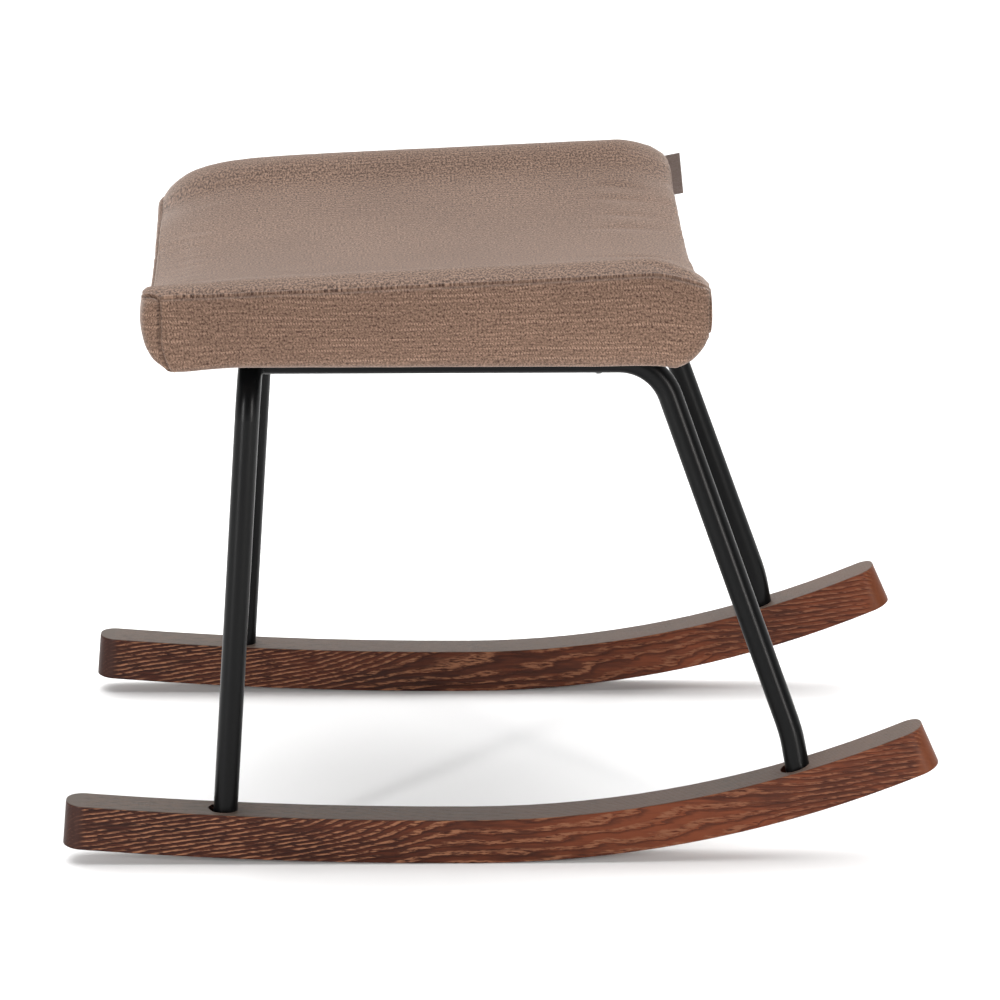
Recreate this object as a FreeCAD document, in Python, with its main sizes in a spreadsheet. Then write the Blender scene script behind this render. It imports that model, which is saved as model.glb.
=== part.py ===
import FreeCAD, Part
import math
import os
import Sketcher

# Rocking footstool: two sawn wooden rockers, a frame of round steel tube and a dished box cushion.
# X runs along the rockers, the gently curved end at -X and the upswept end at +X.
# Y runs across the stool, the front at -Y. Z is up, and the rockers touch the floor at Z = 0.

# Driving dimensions in millimetres
SIZES = {
    "rocker_length": 650,
    "rocker_width": 32,
    "rocker_height": 34,
    "rocker_spacing": 408,
    "contact_x": -20,
    "back_radius": 3500,
    "rise_radius": 850,
    "rocker_end_radius": 14,
    "rocker_edge_radius": 1.2,
    "tube_diameter": 18,
    "tube_wall": 1.5,
    "rail_height": 374,
    "rail_spacing": 356,
    "arch_top_x": -181.5,
    "arch_foot_x": -204,
    "arch_bend_radius": 36,
    "leg_top_x": 115,
    "leg_bend_x": 215.5,
    "leg_bend_height": 95,
    "leg_foot_x": 220,
    "rail_bend_radius": 40,
    "leg_bend_radius": 120,
    "cross_tube_x": 72,
    "socket_diameter": 22,
    "socket_offset": 1.8,
    "socket_depth": 16,
    "socket_web": 10,
    "counterbore_diameter": 19,
    "insert_length": 15,
    "rocker_bolt_diameter": 8,
    "rocker_bolt_length": 25,
    "rocker_bolt_head": 14,
    "rocker_bolt_head_height": 4.4,
    "rocker_bolt_key": 5,
    "rocker_washer_diameter": 17,
    "rocker_washer_thickness": 1.6,
    "tab_length": 36,
    "tab_width": 30,
    "tab_thickness": 3,
    "tab_corner": 5,
    "tab_left_x": -130,
    "tab_right_x": 40,
    "seat_screw_diameter": 6,
    "seat_screw_length": 16,
    "seat_screw_head": 10.5,
    "seat_screw_head_height": 3.3,
    "seat_screw_key": 4,
    "seat_washer_diameter": 14,
    "seat_washer_thickness": 1.4,
    "nut_flange_diameter": 21,
    "nut_flange_thickness": 1.5,
    "nut_barrel_diameter": 9,
    "nut_barrel_length": 9.5,
    "board_thickness": 12,
    "board_inset_left": 21,
    "board_inset_right": 31,
    "board_inset_side": 9,
    "board_corner": 12,
    "dust_cover_thickness": 1,
    "cover_thickness": 2,
    "cover_margin": 34,
    "seam_gap": 0.6,
    "seat_left_x": -266,
    "seat_length": 419,
    "seat_width": 476,
    "cushion_height": 69.3,
    "crest_rise": 6,
    "crest_roll": 30,
    "dish_depth": 34,
    "left_fall": 14,
    "left_fall_start": 0,
    "side_bulge": 3.5,
    "lower_edge_radius": 8,
    "left_panel_depth": 17,
    "left_panel_top": 5,
    "right_panel_depth": 4,
    "right_panel_top": 3,
    "panel_corner": 12,
    "end_flat": 1.5,
    "left_crest_round": 12,
    "left_dish_round": 6,
    "left_plan_round": 10,
    "left_base_reach": 20,
    "left_base_rise": 46,
    "left_base_middle": 12,
    "right_crest_round": 18,
    "right_dish_round": 7,
    "right_plan_round": 8,
    "right_base_reach": 30,
    "right_base_rise": 38,
    "right_base_middle": 20,
    "tag_height": 33,
    "tag_reach": 11,
    "tag_thickness": 1.2,
    "tag_top_drop": 8,
    "fit_clearance": 0.1,
}

# Worked-out places, as formulas on the driving dimensions
PLACES = {
    "half_length": "=sizes.rocker_length / 2",
    "rocker_y": "=sizes.rocker_spacing / 2",
    "rail_y": "=sizes.rail_spacing / 2",
    "tube_radius": "=sizes.tube_diameter / 2",
    "tube_bore_radius": "=sizes.tube_diameter / 2 - sizes.tube_wall",
    "back_top_radius": "=sizes.back_radius - sizes.rocker_height",
    "rise_top_radius": "=sizes.rise_radius - sizes.rocker_height",
    "arch_foot_reach": "=sizes.arch_foot_x - sizes.contact_x",
    "leg_foot_reach": "=sizes.leg_foot_x - sizes.contact_x",
    "arch_surface_z": "=sizes.back_radius - sqrt(back_top_radius ^ 2 - arch_foot_reach ^ 2)",
    "leg_surface_z": "=sizes.rise_radius - sqrt(rise_top_radius ^ 2 - leg_foot_reach ^ 2)",
    "arch_rise": "=sizes.rail_height - arch_surface_z",
    "arch_lean": "=atan((sizes.arch_top_x - sizes.arch_foot_x) / arch_rise)",
    "foot_insertion": "=sizes.socket_depth - sizes.fit_clearance",
    "arch_foot_v": "=-sqrt(arch_rise ^ 2 + (sizes.arch_top_x - sizes.arch_foot_x) ^ 2) - foot_insertion",
    "side_rise": "=sizes.rail_height - leg_surface_z",
    "side_slant": "=sqrt(side_rise ^ 2 + (rocker_y - rail_y) ^ 2)",
    "side_tilt": "=atan((rocker_y - rail_y) / side_rise)",
    "leg_bend_v": "=-(sizes.rail_height - sizes.leg_bend_height) * side_slant / side_rise",
    "foot_run": "=sqrt((sizes.leg_foot_x - sizes.leg_bend_x) ^ 2 + (side_slant + leg_bend_v) ^ 2)",
    "foot_end_x": "=sizes.leg_foot_x + (sizes.leg_foot_x - sizes.leg_bend_x) * foot_insertion / foot_run",
    "foot_end_v": "=-side_slant - (side_slant + leg_bend_v) * foot_insertion / foot_run",
    "frame_top_z": "=sizes.rail_height + tube_radius",
    "dust_cover_z": "=frame_top_z + sizes.fit_clearance",
    "board_z": "=dust_cover_z + sizes.dust_cover_thickness",
    "board_top_z": "=board_z + sizes.board_thickness",
    "cushion_z": "=board_z - sizes.cover_thickness",
    "seat_right_x": "=sizes.seat_left_x + sizes.seat_length",
    "seat_half_width": "=sizes.seat_width / 2",
    "board_left_x": "=sizes.seat_left_x + sizes.board_inset_left",
    "board_right_x": "=seat_right_x - sizes.board_inset_right",
    "board_y": "=seat_half_width - sizes.board_inset_side",
    "opening_left_x": "=sizes.seat_left_x + sizes.cover_margin",
    "opening_right_x": "=seat_right_x - sizes.cover_margin",
    "opening_y": "=seat_half_width - sizes.cover_margin",
    "dust_left_x": "=opening_left_x + sizes.fit_clearance",
    "dust_right_x": "=opening_right_x - sizes.fit_clearance",
    "dust_y": "=opening_y - sizes.fit_clearance",
    "tab_z": "=frame_top_z - sizes.tab_thickness",
    "tab_meets_tube": "=sqrt(tube_radius ^ 2 - (tube_radius - sizes.tab_thickness) ^ 2)",
    "tab_edge_y": "=rail_y - tab_meets_tube - sizes.fit_clearance",
    "tab_y": "=tab_edge_y - sizes.tab_width / 2",
    "insert_radius": "=tube_bore_radius - sizes.fit_clearance",
    "rocker_bolt_radius": "=sizes.rocker_bolt_diameter / 2",
    "rocker_bolt_bore": "=rocker_bolt_radius + sizes.fit_clearance",
    "rocker_bolt_head_radius": "=sizes.rocker_bolt_head / 2",
    "rocker_bolt_head_round": "=sizes.rocker_bolt_head_height / 3",
    "rocker_bolt_key_radius": "=sizes.rocker_bolt_key / sqrt(3)",
    "rocker_bolt_key_depth": "=sizes.rocker_bolt_head_height * 0.6",
    "rocker_washer_radius": "=sizes.rocker_washer_diameter / 2",
    "seat_screw_radius": "=sizes.seat_screw_diameter / 2",
    "seat_screw_bore": "=seat_screw_radius + sizes.fit_clearance",
    "seat_screw_head_radius": "=sizes.seat_screw_head / 2",
    "seat_screw_head_round": "=sizes.seat_screw_head_height / 3",
    "seat_screw_key_radius": "=sizes.seat_screw_key / sqrt(3)",
    "seat_screw_key_depth": "=sizes.seat_screw_head_height * 0.6",
    "seat_washer_radius": "=sizes.seat_washer_diameter / 2",
    "screw_hole_radius": "=seat_screw_radius + 0.4",
    "nut_hole_radius": "=sizes.nut_barrel_diameter / 2 + sizes.fit_clearance",
    "nut_seat_radius": "=sizes.nut_flange_diameter / 2 + sizes.fit_clearance",
    "nut_flange_radius": "=sizes.nut_flange_diameter / 2",
    "nut_barrel_radius": "=sizes.nut_barrel_diameter / 2",
    "socket_radius": "=sizes.socket_diameter / 2",
    "rocker_hole_radius": "=rocker_bolt_radius + 3 * sizes.fit_clearance",
    "counterbore_radius": "=sizes.counterbore_diameter / 2",
    "rocker_drill_reach": "=3 * sizes.rocker_height",
    "board_drill_reach": "=3 * sizes.board_thickness",
    "cope_radius": "=tube_radius + sizes.fit_clearance",
    "cope_reach": "=4 * sizes.tube_diameter",
}

doc = FreeCAD.newDocument("rocking_footstool")


def fill_sheet(name, cells):
    """One row for each value: its name in column A, the value in column B under that alias."""
    sheet = doc.addObject("Spreadsheet::Sheet", name)
    for row, (alias, value) in enumerate(cells.items(), start=1):
        sheet.set(f"A{row}", alias)
        sheet.set(f"B{row}", str(value))
        sheet.setAlias(f"B{row}", alias)
    doc.recompute()
    return sheet


sizes = fill_sheet("sizes", SIZES)
places = fill_sheet("places", PLACES)


def link(alias):
    return f"sizes.{alias}" if alias in SIZES else f"places.{alias}"


def number(alias):
    sheet = sizes if alias in SIZES else places
    value = getattr(sheet, alias)
    return float(getattr(value, "Value", value))


def bind(item, prop, alias):
    item.setExpression(prop, link(alias))


def vector(x, y, z=0.0):
    return FreeCAD.Vector(x, y, z)


# Helpers for bodies and sketches

def new_body(label):
    body = doc.addObject("PartDesign::Body", label)
    body.Label = label
    return body


def new_sketch(body, name, plane, offset=None):
    sketch = body.newObject("Sketcher::SketchObject", name)
    datum = next(o for o in body.Origin.OriginFeatures if o.Role == plane)
    sketch.AttachmentSupport = [(datum, "")]
    sketch.MapMode = "FlatFace"
    if offset:
        bind(sketch, "AttachmentOffset.Base.z", offset)
    return sketch


def dimension(sketch, label, kind, refs, alias):
    """A dimension of a sketch, bound to one value of the sheets. A minus sign turns its direction."""
    sign = -1.0 if alias.startswith("-") else 1.0
    alias = alias.lstrip("-")
    index = sketch.addConstraint(Sketcher.Constraint(kind, *refs, sign * number(alias)))
    sketch.renameConstraint(index, label)
    sketch.setExpression(f"Constraints.{label}", ("-" if sign < 0 else "") + link(alias))


def join(sketch, *pairs):
    for first, first_point, second, second_point in pairs:
        sketch.addConstraint(Sketcher.Constraint("Coincident", first, first_point, second, second_point))


def add_circle(sketch, x, y, radius_alias, label):
    """A circle whose centre stays at the aliases x and y, each a name, a negative name or None for zero."""
    def coordinate(alias):
        return 0.0 if alias is None else number(alias.lstrip("-")) * (-1 if alias.startswith("-") else 1)
    centre = vector(coordinate(x), coordinate(y))
    circle = Part.Circle(centre, vector(0, 0, 1), number(radius_alias))
    index = sketch.addGeometry(circle)
    dimension(sketch, label + "_radius", "Radius", (index,), radius_alias)
    for alias, kind, point_on in ((x, "DistanceX", -2), (y, "DistanceY", -1)):
        if alias is None:
            sketch.addConstraint(Sketcher.Constraint("PointOnObject", index, 3, point_on))
        else:
            dimension(sketch, label + kind[-1], kind, (-1, 1, index, 3), alias)


def add_rectangle(sketch, left, right, low, high):
    """A rectangle between four values, each a name or a name with a minus sign."""
    def coordinate(alias):
        return number(alias.lstrip("-")) * (-1 if alias.startswith("-") else 1)
    x0, x1, y0, y1 = (coordinate(alias) for alias in (left, right, low, high))
    corners = [vector(x0, y0), vector(x1, y0), vector(x1, y1), vector(x0, y1)]
    for start, end in zip(corners, corners[1:] + corners[:1]):
        sketch.addGeometry(Part.LineSegment(start, end))
    join(sketch, (0, 2, 1, 1), (1, 2, 2, 1), (2, 2, 3, 1), (3, 2, 0, 1))
    for side in (0, 2):
        sketch.addConstraint(Sketcher.Constraint("Horizontal", side))
    for side in (1, 3):
        sketch.addConstraint(Sketcher.Constraint("Vertical", side))
    dimension(sketch, "left", "DistanceX", (-1, 1, 0, 1), left)
    dimension(sketch, "low", "DistanceY", (-1, 1, 0, 1), low)
    dimension(sketch, "right", "DistanceX", (-1, 1, 2, 1), right)
    dimension(sketch, "high", "DistanceY", (-1, 1, 2, 1), high)


def pad(body, sketch, alias, both_sides=False):
    feature = body.newObject("PartDesign::Pad", "Pad")
    feature.Profile = sketch
    bind(feature, "Length", alias)
    feature.Midplane = both_sides
    doc.recompute()
    return feature


def round_edges(body, base, radius_alias, test):
    """A fillet on the edges of the base feature that pass the test."""
    names = [f"Edge{i}" for i, edge in enumerate(base.Shape.Edges, start=1) if test(edge)]
    feature = body.newObject("PartDesign::Fillet", "Fillet")
    feature.Base = (base, names)
    bind(feature, "Radius", radius_alias)
    doc.recompute()
    return feature


def runs_along(edge, axis):
    """True for a straight edge that runs along the axis."""
    if edge.Curve.TypeId != "Part::GeomLine":
        return False
    return abs(abs(edge.Curve.Direction.dot(axis)) - 1) < 1e-6


def drill(body, radius_alias, reach_alias, placement):
    """A round hole cut from the placement's origin along its Z axis."""
    tool = body.newObject("PartDesign::SubtractiveCylinder", "Drill")
    bind(tool, "Radius", radius_alias)
    bind(tool, "Height", reach_alias)
    tool.Placement = placement
    doc.recompute()
    return tool


def group(label, members):
    """Identical pieces as separate solids in one node."""
    compound = doc.addObject("Part::Compound", label)
    compound.Label = label
    compound.Links = members
    doc.recompute()
    return compound


# Legs' feet: where each leg stands on the floor of its socket, with Z up along the leg

def aligned(origin, direction):
    return FreeCAD.Placement(origin, FreeCAD.Rotation(vector(0, 0, 1), direction))


def foot_placement(end, side):
    """The socket's floor under one leg. The end is arch or leg, the side -1 at the front, 1 at the back."""
    rocker_y = side * number("rocker_y")
    if end == "arch":
        surface = vector(number("arch_foot_x"), rocker_y, number("arch_surface_z"))
        above = vector(number("arch_top_x"), rocker_y, number("rail_height"))
    else:
        surface = vector(number("leg_foot_x"), rocker_y, number("leg_surface_z"))
        share = (number("leg_bend_height") - number("leg_surface_z")) / number("side_rise")
        bend_y = rocker_y + side * share * (number("rail_y") - number("rocker_y"))
        above = vector(number("leg_bend_x"), bend_y, number("leg_bend_height"))
    direction = (above - surface).normalize()
    return aligned(surface - direction * number("socket_depth"), direction)


def lifted(placement, height, sideways=0.0):
    """The placement moved along its own Z axis, and sideways along its own X axis."""
    return placement.multiply(FreeCAD.Placement(vector(sideways, 0, height), FreeCAD.Rotation()))


# Rockers

def rocker_profile(sketch):
    """Side view: a nearly straight back stretch and an upswept front stretch, tangent at the floor."""
    contact, half = number("contact_x"), number("half_length")
    back, rise = number("back_radius"), number("rise_radius")
    back_top, rise_top = number("back_top_radius"), number("rise_top_radius")
    back_angle = math.asin((half + contact) / back)
    rise_angle = math.asin((half - contact) / rise)
    low = 1.5 * math.pi

    def arc(height, radius, start, end):
        circle = Part.Circle(vector(contact, height), vector(0, 0, 1), radius)
        return Part.ArcOfCircle(circle, start, end)

    def on_circle(height, radius, angle):
        return vector(contact + radius * math.cos(angle), height + radius * math.sin(angle))

    sketch.addGeometry(arc(back, back, low - back_angle, low))
    sketch.addGeometry(arc(rise, rise, low, low + rise_angle))
    sketch.addGeometry(Part.LineSegment(on_circle(rise, rise, low + rise_angle),
                                        on_circle(rise, rise_top, low + rise_angle)))
    sketch.addGeometry(arc(rise, rise_top, low, low + rise_angle))
    sketch.addGeometry(arc(back, back_top, low - back_angle, low))
    sketch.addGeometry(Part.LineSegment(on_circle(back, back_top, low - back_angle),
                                        on_circle(back, back, low - back_angle)))
    join(sketch, (0, 2, 1, 1), (1, 2, 2, 1), (2, 2, 3, 2), (3, 1, 4, 2), (4, 1, 5, 1), (5, 2, 0, 1),
         (0, 3, 4, 3), (1, 3, 3, 3))
    dimension(sketch, "back_curve", "Radius", (0,), "back_radius")
    dimension(sketch, "rise_curve", "Radius", (1,), "rise_radius")
    dimension(sketch, "back_top_curve", "Radius", (4,), "back_top_radius")
    dimension(sketch, "back_centre_x", "DistanceX", (-1, 1, 0, 3), "contact_x")
    dimension(sketch, "back_centre_z", "DistanceY", (-1, 1, 0, 3), "back_radius")
    dimension(sketch, "contact_point", "DistanceX", (-1, 1, 0, 2), "contact_x")
    dimension(sketch, "rise_centre_x", "DistanceX", (-1, 1, 1, 3), "contact_x")
    dimension(sketch, "top_joint", "DistanceX", (-1, 1, 4, 2), "contact_x")
    dimension(sketch, "back_end", "DistanceX", (-1, 1, 0, 1), "-half_length")
    dimension(sketch, "rise_end", "DistanceX", (-1, 1, 1, 2), "half_length")
    sketch.addConstraint(Sketcher.Constraint("PointOnObject", 0, 3, 5))
    sketch.addConstraint(Sketcher.Constraint("PointOnObject", 1, 3, 2))


def is_long_edge(edge):
    """True for the outline edges of the rocker's top and bottom faces."""
    outer_y = number("rocker_width") / 2
    if edge.Length < 2 * number("rocker_edge_radius"):
        return False
    if edge.Curve.TypeId == "Part::GeomCircle":
        return edge.Curve.Radius > 10 * number("rocker_height") and abs(edge.CenterOfMass.y) > outer_y - 1e-3
    return False


def make_rocker(label, side):
    """A rocker with round ends in plan, two blind leg sockets and a bolt hole under each."""
    body = new_body(label)
    profile = new_sketch(body, label + "_side", "XZ_Plane")
    rocker_profile(profile)
    blank = pad(body, profile, "rocker_width", both_sides=True)
    last = round_edges(body, blank, "rocker_end_radius", lambda edge: (
        edge.Curve.TypeId == "Part::GeomLine" and abs(edge.Curve.Direction.y) < 1e-6))
    for end in ("arch", "leg"):
        floor = foot_placement(end, side)
        to_rocker = FreeCAD.Placement(vector(0, -side * number("rocker_y"), 0), FreeCAD.Rotation())
        floor = to_rocker.multiply(floor)
        socket = lifted(floor, 0, -number("socket_offset"))
        drill(body, "socket_radius", "rocker_drill_reach", socket)
        below = lifted(floor, -number("rocker_drill_reach") / 2)
        drill(body, "rocker_hole_radius", "rocker_drill_reach", below)
        counterbore = lifted(floor, -number("socket_web") - number("rocker_drill_reach"))
        last = drill(body, "counterbore_radius", "rocker_drill_reach", counterbore)
    round_edges(body, last, "rocker_edge_radius", is_long_edge)
    body.setExpression("Placement.Base.y", f"{side} * places.rocker_y")
    doc.recompute()
    return body


# Tube frame

def ring_profile(body, name, plane, offset, y_alias, hollow, radius_alias="tube_radius"):
    sketch = new_sketch(body, name, plane, offset)
    axis_y = y_alias if plane == "XY_Plane" else None
    add_circle(sketch, None, axis_y, radius_alias, "outside")
    if hollow:
        add_circle(sketch, None, axis_y, "tube_bore_radius", "bore")
    return sketch


def bend_arc(before, corner, after, radius):
    """The arc of the radius that rounds the corner between two straight runs, and its tangent points."""
    towards_start = (before - corner).normalize()
    towards_end = (after - corner).normalize()
    half_angle = towards_start.getAngle(towards_end) / 2
    reach = radius / math.tan(half_angle)
    start = corner + towards_start * reach
    end = corner + towards_end * reach
    centre = corner + (towards_start + towards_end).normalize() * (radius / math.sin(half_angle))
    middle = centre + (corner - centre).normalize() * radius
    return start, end, Part.Arc(start, middle, end)


def bent_path(sketch, points, radii):
    """Straight runs through the points, rounded at the inner ones: runs are even, bends odd."""
    start = points[0]
    for index, radius in enumerate(radii, start=1):
        bend_start, bend_end, arc = bend_arc(points[index - 1], points[index], points[index + 1], radius)
        sketch.addGeometry(Part.LineSegment(start, bend_start))
        sketch.addGeometry(arc)
        start = bend_end
    sketch.addGeometry(Part.LineSegment(start, points[-1]))


def tangent_joints(sketch, turns):
    """Each bend meets its two runs smoothly. A turn of 1 runs anticlockwise, -1 clockwise."""
    for index, turn in enumerate(turns):
        run, bend = 2 * index, 2 * index + 1
        into, out = (1, 2) if turn > 0 else (2, 1)
        sketch.addConstraint(Sketcher.Constraint("Tangent", run, 2, bend, into))
        sketch.addConstraint(Sketcher.Constraint("Tangent", bend, out, run + 2, 1))


def sweep_tube(body, profile, path, stretches=5):
    pipe = body.newObject("PartDesign::AdditivePipe", "Tube")
    pipe.Profile = profile
    pipe.Spine = (path, [f"Edge{i}" for i in range(1, stretches + 1)])
    doc.recompute()
    return pipe


def make_arch(label, hollow=True, radius_alias="tube_radius"):
    """Both left legs and the cross tube between them, bent in one leaning plane."""
    body = new_body(label)
    path = new_sketch(body, label + "_path", "YZ_Plane")
    side, foot = number("rocker_y"), number("arch_foot_v")
    points = [vector(-side, foot), vector(-side, 0), vector(side, 0), vector(side, foot)]
    bent_path(path, points, [number("arch_bend_radius")] * 2)
    tangent_joints(path, (-1, -1))
    for run, kind in ((0, "Vertical"), (2, "Horizontal"), (4, "Vertical")):
        path.addConstraint(Sketcher.Constraint(kind, run))
    dimension(path, "front_bend", "Radius", (1,), "arch_bend_radius")
    dimension(path, "back_bend", "Radius", (3,), "arch_bend_radius")
    path.addConstraint(Sketcher.Constraint("PointOnObject", 2, 1, -1))
    dimension(path, "front_leg", "DistanceX", (-1, 1, 0, 1), "-rocker_y")
    dimension(path, "back_leg", "DistanceX", (-1, 1, 4, 2), "rocker_y")
    dimension(path, "front_foot", "DistanceY", (-1, 1, 0, 1), "arch_foot_v")
    dimension(path, "back_foot", "DistanceY", (-1, 1, 4, 2), "arch_foot_v")
    profile = ring_profile(body, label + "_ring", "XY_Plane", "arch_foot_v", "-rocker_y", hollow,
                           radius_alias)
    sweep_tube(body, profile, path)
    body.Placement = FreeCAD.Placement(vector(0, 0, 0), FreeCAD.Rotation(vector(0, 1, 0), 1))
    bind(body, "Placement.Rotation.Angle", "arch_lean")
    bind(body, "Placement.Base.x", "arch_top_x")
    bind(body, "Placement.Base.z", "rail_height")
    doc.recompute()
    return body


def make_side_tube(label, side, arch_outside):
    """A rail under the seat that bends down into the right leg, coped onto the arch at its left end."""
    body = new_body(label + "_bent")
    path = new_sketch(body, label + "_path", "XZ_Plane")
    points = [vector(number("arch_top_x"), 0), vector(number("leg_top_x"), 0),
              vector(number("leg_bend_x"), number("leg_bend_v")),
              vector(number("foot_end_x"), number("foot_end_v"))]
    bent_path(path, points, [number("rail_bend_radius"), number("leg_bend_radius")])
    tangent_joints(path, (-1, -1))
    path.addConstraint(Sketcher.Constraint("Horizontal", 0))
    path.addConstraint(Sketcher.Constraint("PointOnObject", 0, 1, -1))
    dimension(path, "rail_start", "DistanceX", (-1, 1, 0, 1), "arch_top_x")
    dimension(path, "rail_bend", "Radius", (1,), "rail_bend_radius")
    dimension(path, "leg_bend", "Radius", (3,), "leg_bend_radius")
    dimension(path, "foot_x", "DistanceX", (-1, 1, 4, 2), "foot_end_x")
    dimension(path, "foot_v", "DistanceY", (-1, 1, 4, 2), "foot_end_v")
    corners = [path.addGeometry(Part.Point(point), True) for point in points[1:3]]
    for corner, run in ((corners[0], 0), (corners[0], 2), (corners[1], 2), (corners[1], 4)):
        path.addConstraint(Sketcher.Constraint("PointOnObject", corner, 1, run))
    dimension(path, "leg_top_x", "DistanceX", (-1, 1, corners[0], 1), "leg_top_x")
    dimension(path, "leg_bend_x", "DistanceX", (-1, 1, corners[1], 1), "leg_bend_x")
    dimension(path, "leg_bend_v", "DistanceY", (-1, 1, corners[1], 1), "leg_bend_v")
    profile = ring_profile(body, label + "_ring", "YZ_Plane", "arch_top_x", None, True)
    sweep_tube(body, profile, path, 5)
    body.Placement = FreeCAD.Placement(vector(0, 0, 0), FreeCAD.Rotation(vector(1, 0, 0), 1))
    body.setExpression("Placement.Rotation.Angle", f"{side} * places.side_tilt")
    body.setExpression("Placement.Base.y", f"{side} * places.rail_y")
    bind(body, "Placement.Base.z", "rail_height")
    doc.recompute()
    coped = doc.addObject("Part::Cut", label)
    coped.Label = label
    coped.Base = body
    coped.Tool = arch_outside
    doc.recompute()
    return coped


def make_cross_tube(label):
    """The straight tube between the two rails, coped onto both."""
    body = new_body(label)
    section = new_sketch(body, label + "_ring", "XZ_Plane")
    add_circle(section, None, None, "tube_radius", "outside")
    add_circle(section, None, None, "tube_bore_radius", "bore")
    pad(body, section, "rail_spacing", both_sides=True)
    bind(body, "Placement.Base.x", "cross_tube_x")
    bind(body, "Placement.Base.z", "rail_height")
    for side in (-1, 1):
        rail = aligned(vector(-number("cope_reach") / 2, side * number("rail_y")), vector(1, 0))
        drill(body, "cope_radius", "cope_reach", rail)
    return body


def make_tab(name, x_alias, side):
    """A flat lug welded to a rail, with the hole for one seat screw."""
    body = new_body(name)
    outline = new_sketch(body, name + "_outline", "XY_Plane")
    half_length, half_width = number("tab_length") / 2, number("tab_width") / 2
    corners = [vector(-half_length, -half_width), vector(half_length, -half_width),
               vector(half_length, half_width), vector(-half_length, half_width)]
    for start, end in zip(corners, corners[1:] + corners[:1]):
        outline.addGeometry(Part.LineSegment(start, end))
    join(outline, (0, 2, 1, 1), (1, 2, 2, 1), (2, 2, 3, 1), (3, 2, 0, 1))
    for run, kind in enumerate(("Horizontal", "Vertical", "Horizontal", "Vertical")):
        outline.addConstraint(Sketcher.Constraint(kind, run))
    outline.addConstraint(Sketcher.Constraint("Symmetric", 0, 1, 2, 1, -1, 1))
    dimension(outline, "length", "DistanceX", (0, 1, 0, 2), "tab_length")
    dimension(outline, "width", "DistanceY", (1, 1, 1, 2), "tab_width")
    plate = pad(body, outline, "tab_thickness")
    inner = -side * half_width
    last = round_edges(body, plate, "tab_corner", lambda edge: (
        runs_along(edge, vector(0, 0, 1)) and abs(edge.CenterOfMass.y - inner) < 1e-3))
    drill(body, "screw_hole_radius", "board_drill_reach", upright(vector(0, 0), -number("board_thickness")))
    bind(body, "Placement.Base.x", x_alias)
    body.setExpression("Placement.Base.y", f"{side} * places.tab_y")
    bind(body, "Placement.Base.z", "tab_z")
    doc.recompute()
    return body


# Fasteners of the legs

def make_ring(name, outer_radius, bore_radius, length, placement):
    """A washer or a threaded insert: a round disc or sleeve with a bore."""
    body = new_body(name)
    section = new_sketch(body, name + "_section", "XY_Plane")
    for label, radius in (("outside", outer_radius), ("bore", bore_radius)):
        index = section.addGeometry(Part.Circle(vector(0, 0), vector(0, 0, 1), number(radius)))
        section.addConstraint(Sketcher.Constraint("Coincident", index, 3, -1, 1))
        dimension(section, label, "Radius", (index,), radius)
    pad(body, section, length)
    body.Placement = placement
    doc.recompute()
    return body


def make_bolt(name, prefix, placement):
    """A round-headed screw with a hexagon socket. Its head sits below Z = 0 and its shank goes up."""
    body = new_body(name)
    head = new_sketch(body, name + "_head", "XY_Plane")
    add_circle(head, None, None, prefix + "_head_radius", "head")
    head_pad = pad(body, head, prefix + "_head_height")
    head_pad.Reversed = True
    doc.recompute()
    crown = round_edges(body, head_pad, prefix + "_head_round", lambda edge: (
        edge.CenterOfMass.z < -0.5 * number(prefix + "_head_height") and len(edge.Vertexes) == 1))
    shank = new_sketch(body, name + "_shank", "XY_Plane")
    add_circle(shank, None, None, prefix + "_radius", "shank")
    pad(body, shank, prefix + "_length")
    key = new_sketch(body, name + "_key", "XY_Plane")
    key.AttachmentOffset = FreeCAD.Placement(vector(0, 0, 0), FreeCAD.Rotation())
    key.setExpression("AttachmentOffset.Base.z", "-" + link(prefix + "_head_height"))
    corner_radius = number(prefix + "_key") / math.sqrt(3)
    angles = [turn * math.pi / 3 for turn in range(6)]
    corners = [vector(corner_radius * math.cos(angle), corner_radius * math.sin(angle))
               for angle in angles]
    for start, end in zip(corners, corners[1:] + corners[:1]):
        key.addGeometry(Part.LineSegment(start, end))
    join(key, *[(run, 2, (run + 1) % 6, 1) for run in range(6)])
    rim = key.addGeometry(Part.Circle(vector(0, 0), vector(0, 0, 1), corner_radius), True)
    key.addConstraint(Sketcher.Constraint("Coincident", rim, 3, -1, 1))
    for run in range(6):
        key.addConstraint(Sketcher.Constraint("PointOnObject", run, 1, rim))
    for run in range(5):
        key.addConstraint(Sketcher.Constraint("Equal", run, run + 1))
    key.addConstraint(Sketcher.Constraint("PointOnObject", 0, 1, -1))
    dimension(key, "rim", "Radius", (rim,), prefix + "_key_radius")
    socket = body.newObject("PartDesign::Pocket", "Key")
    socket.Profile = key
    bind(socket, "Length", prefix + "_key_depth")
    socket.Reversed = True
    doc.recompute()
    body.Placement = placement
    doc.recompute()
    return body


# Seat board and what is fixed to it

def seat_fixings():
    """Where each seat screw goes: the x value's name, the side and the point on the floor plan."""
    for x_alias in ("tab_left_x", "tab_right_x"):
        for side in (-1, 1):
            yield x_alias, side, vector(number(x_alias), side * number("tab_y"))


def upright(point, height):
    return FreeCAD.Placement(vector(point.x, point.y, height), FreeCAD.Rotation())


def make_sheet_piece(label, edges, thickness, height, corner):
    """A flat sheet between four values, with round corners: the seat board or the dust cover."""
    body = new_body(label)
    outline = new_sketch(body, label + "_outline", "XY_Plane")
    add_rectangle(outline, *edges)
    sheet = pad(body, outline, thickness)
    round_edges(body, sheet, corner, lambda edge: runs_along(edge, vector(0, 0, 1)))
    bind(body, "Placement.Base.z", height)
    doc.recompute()
    return body


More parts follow.
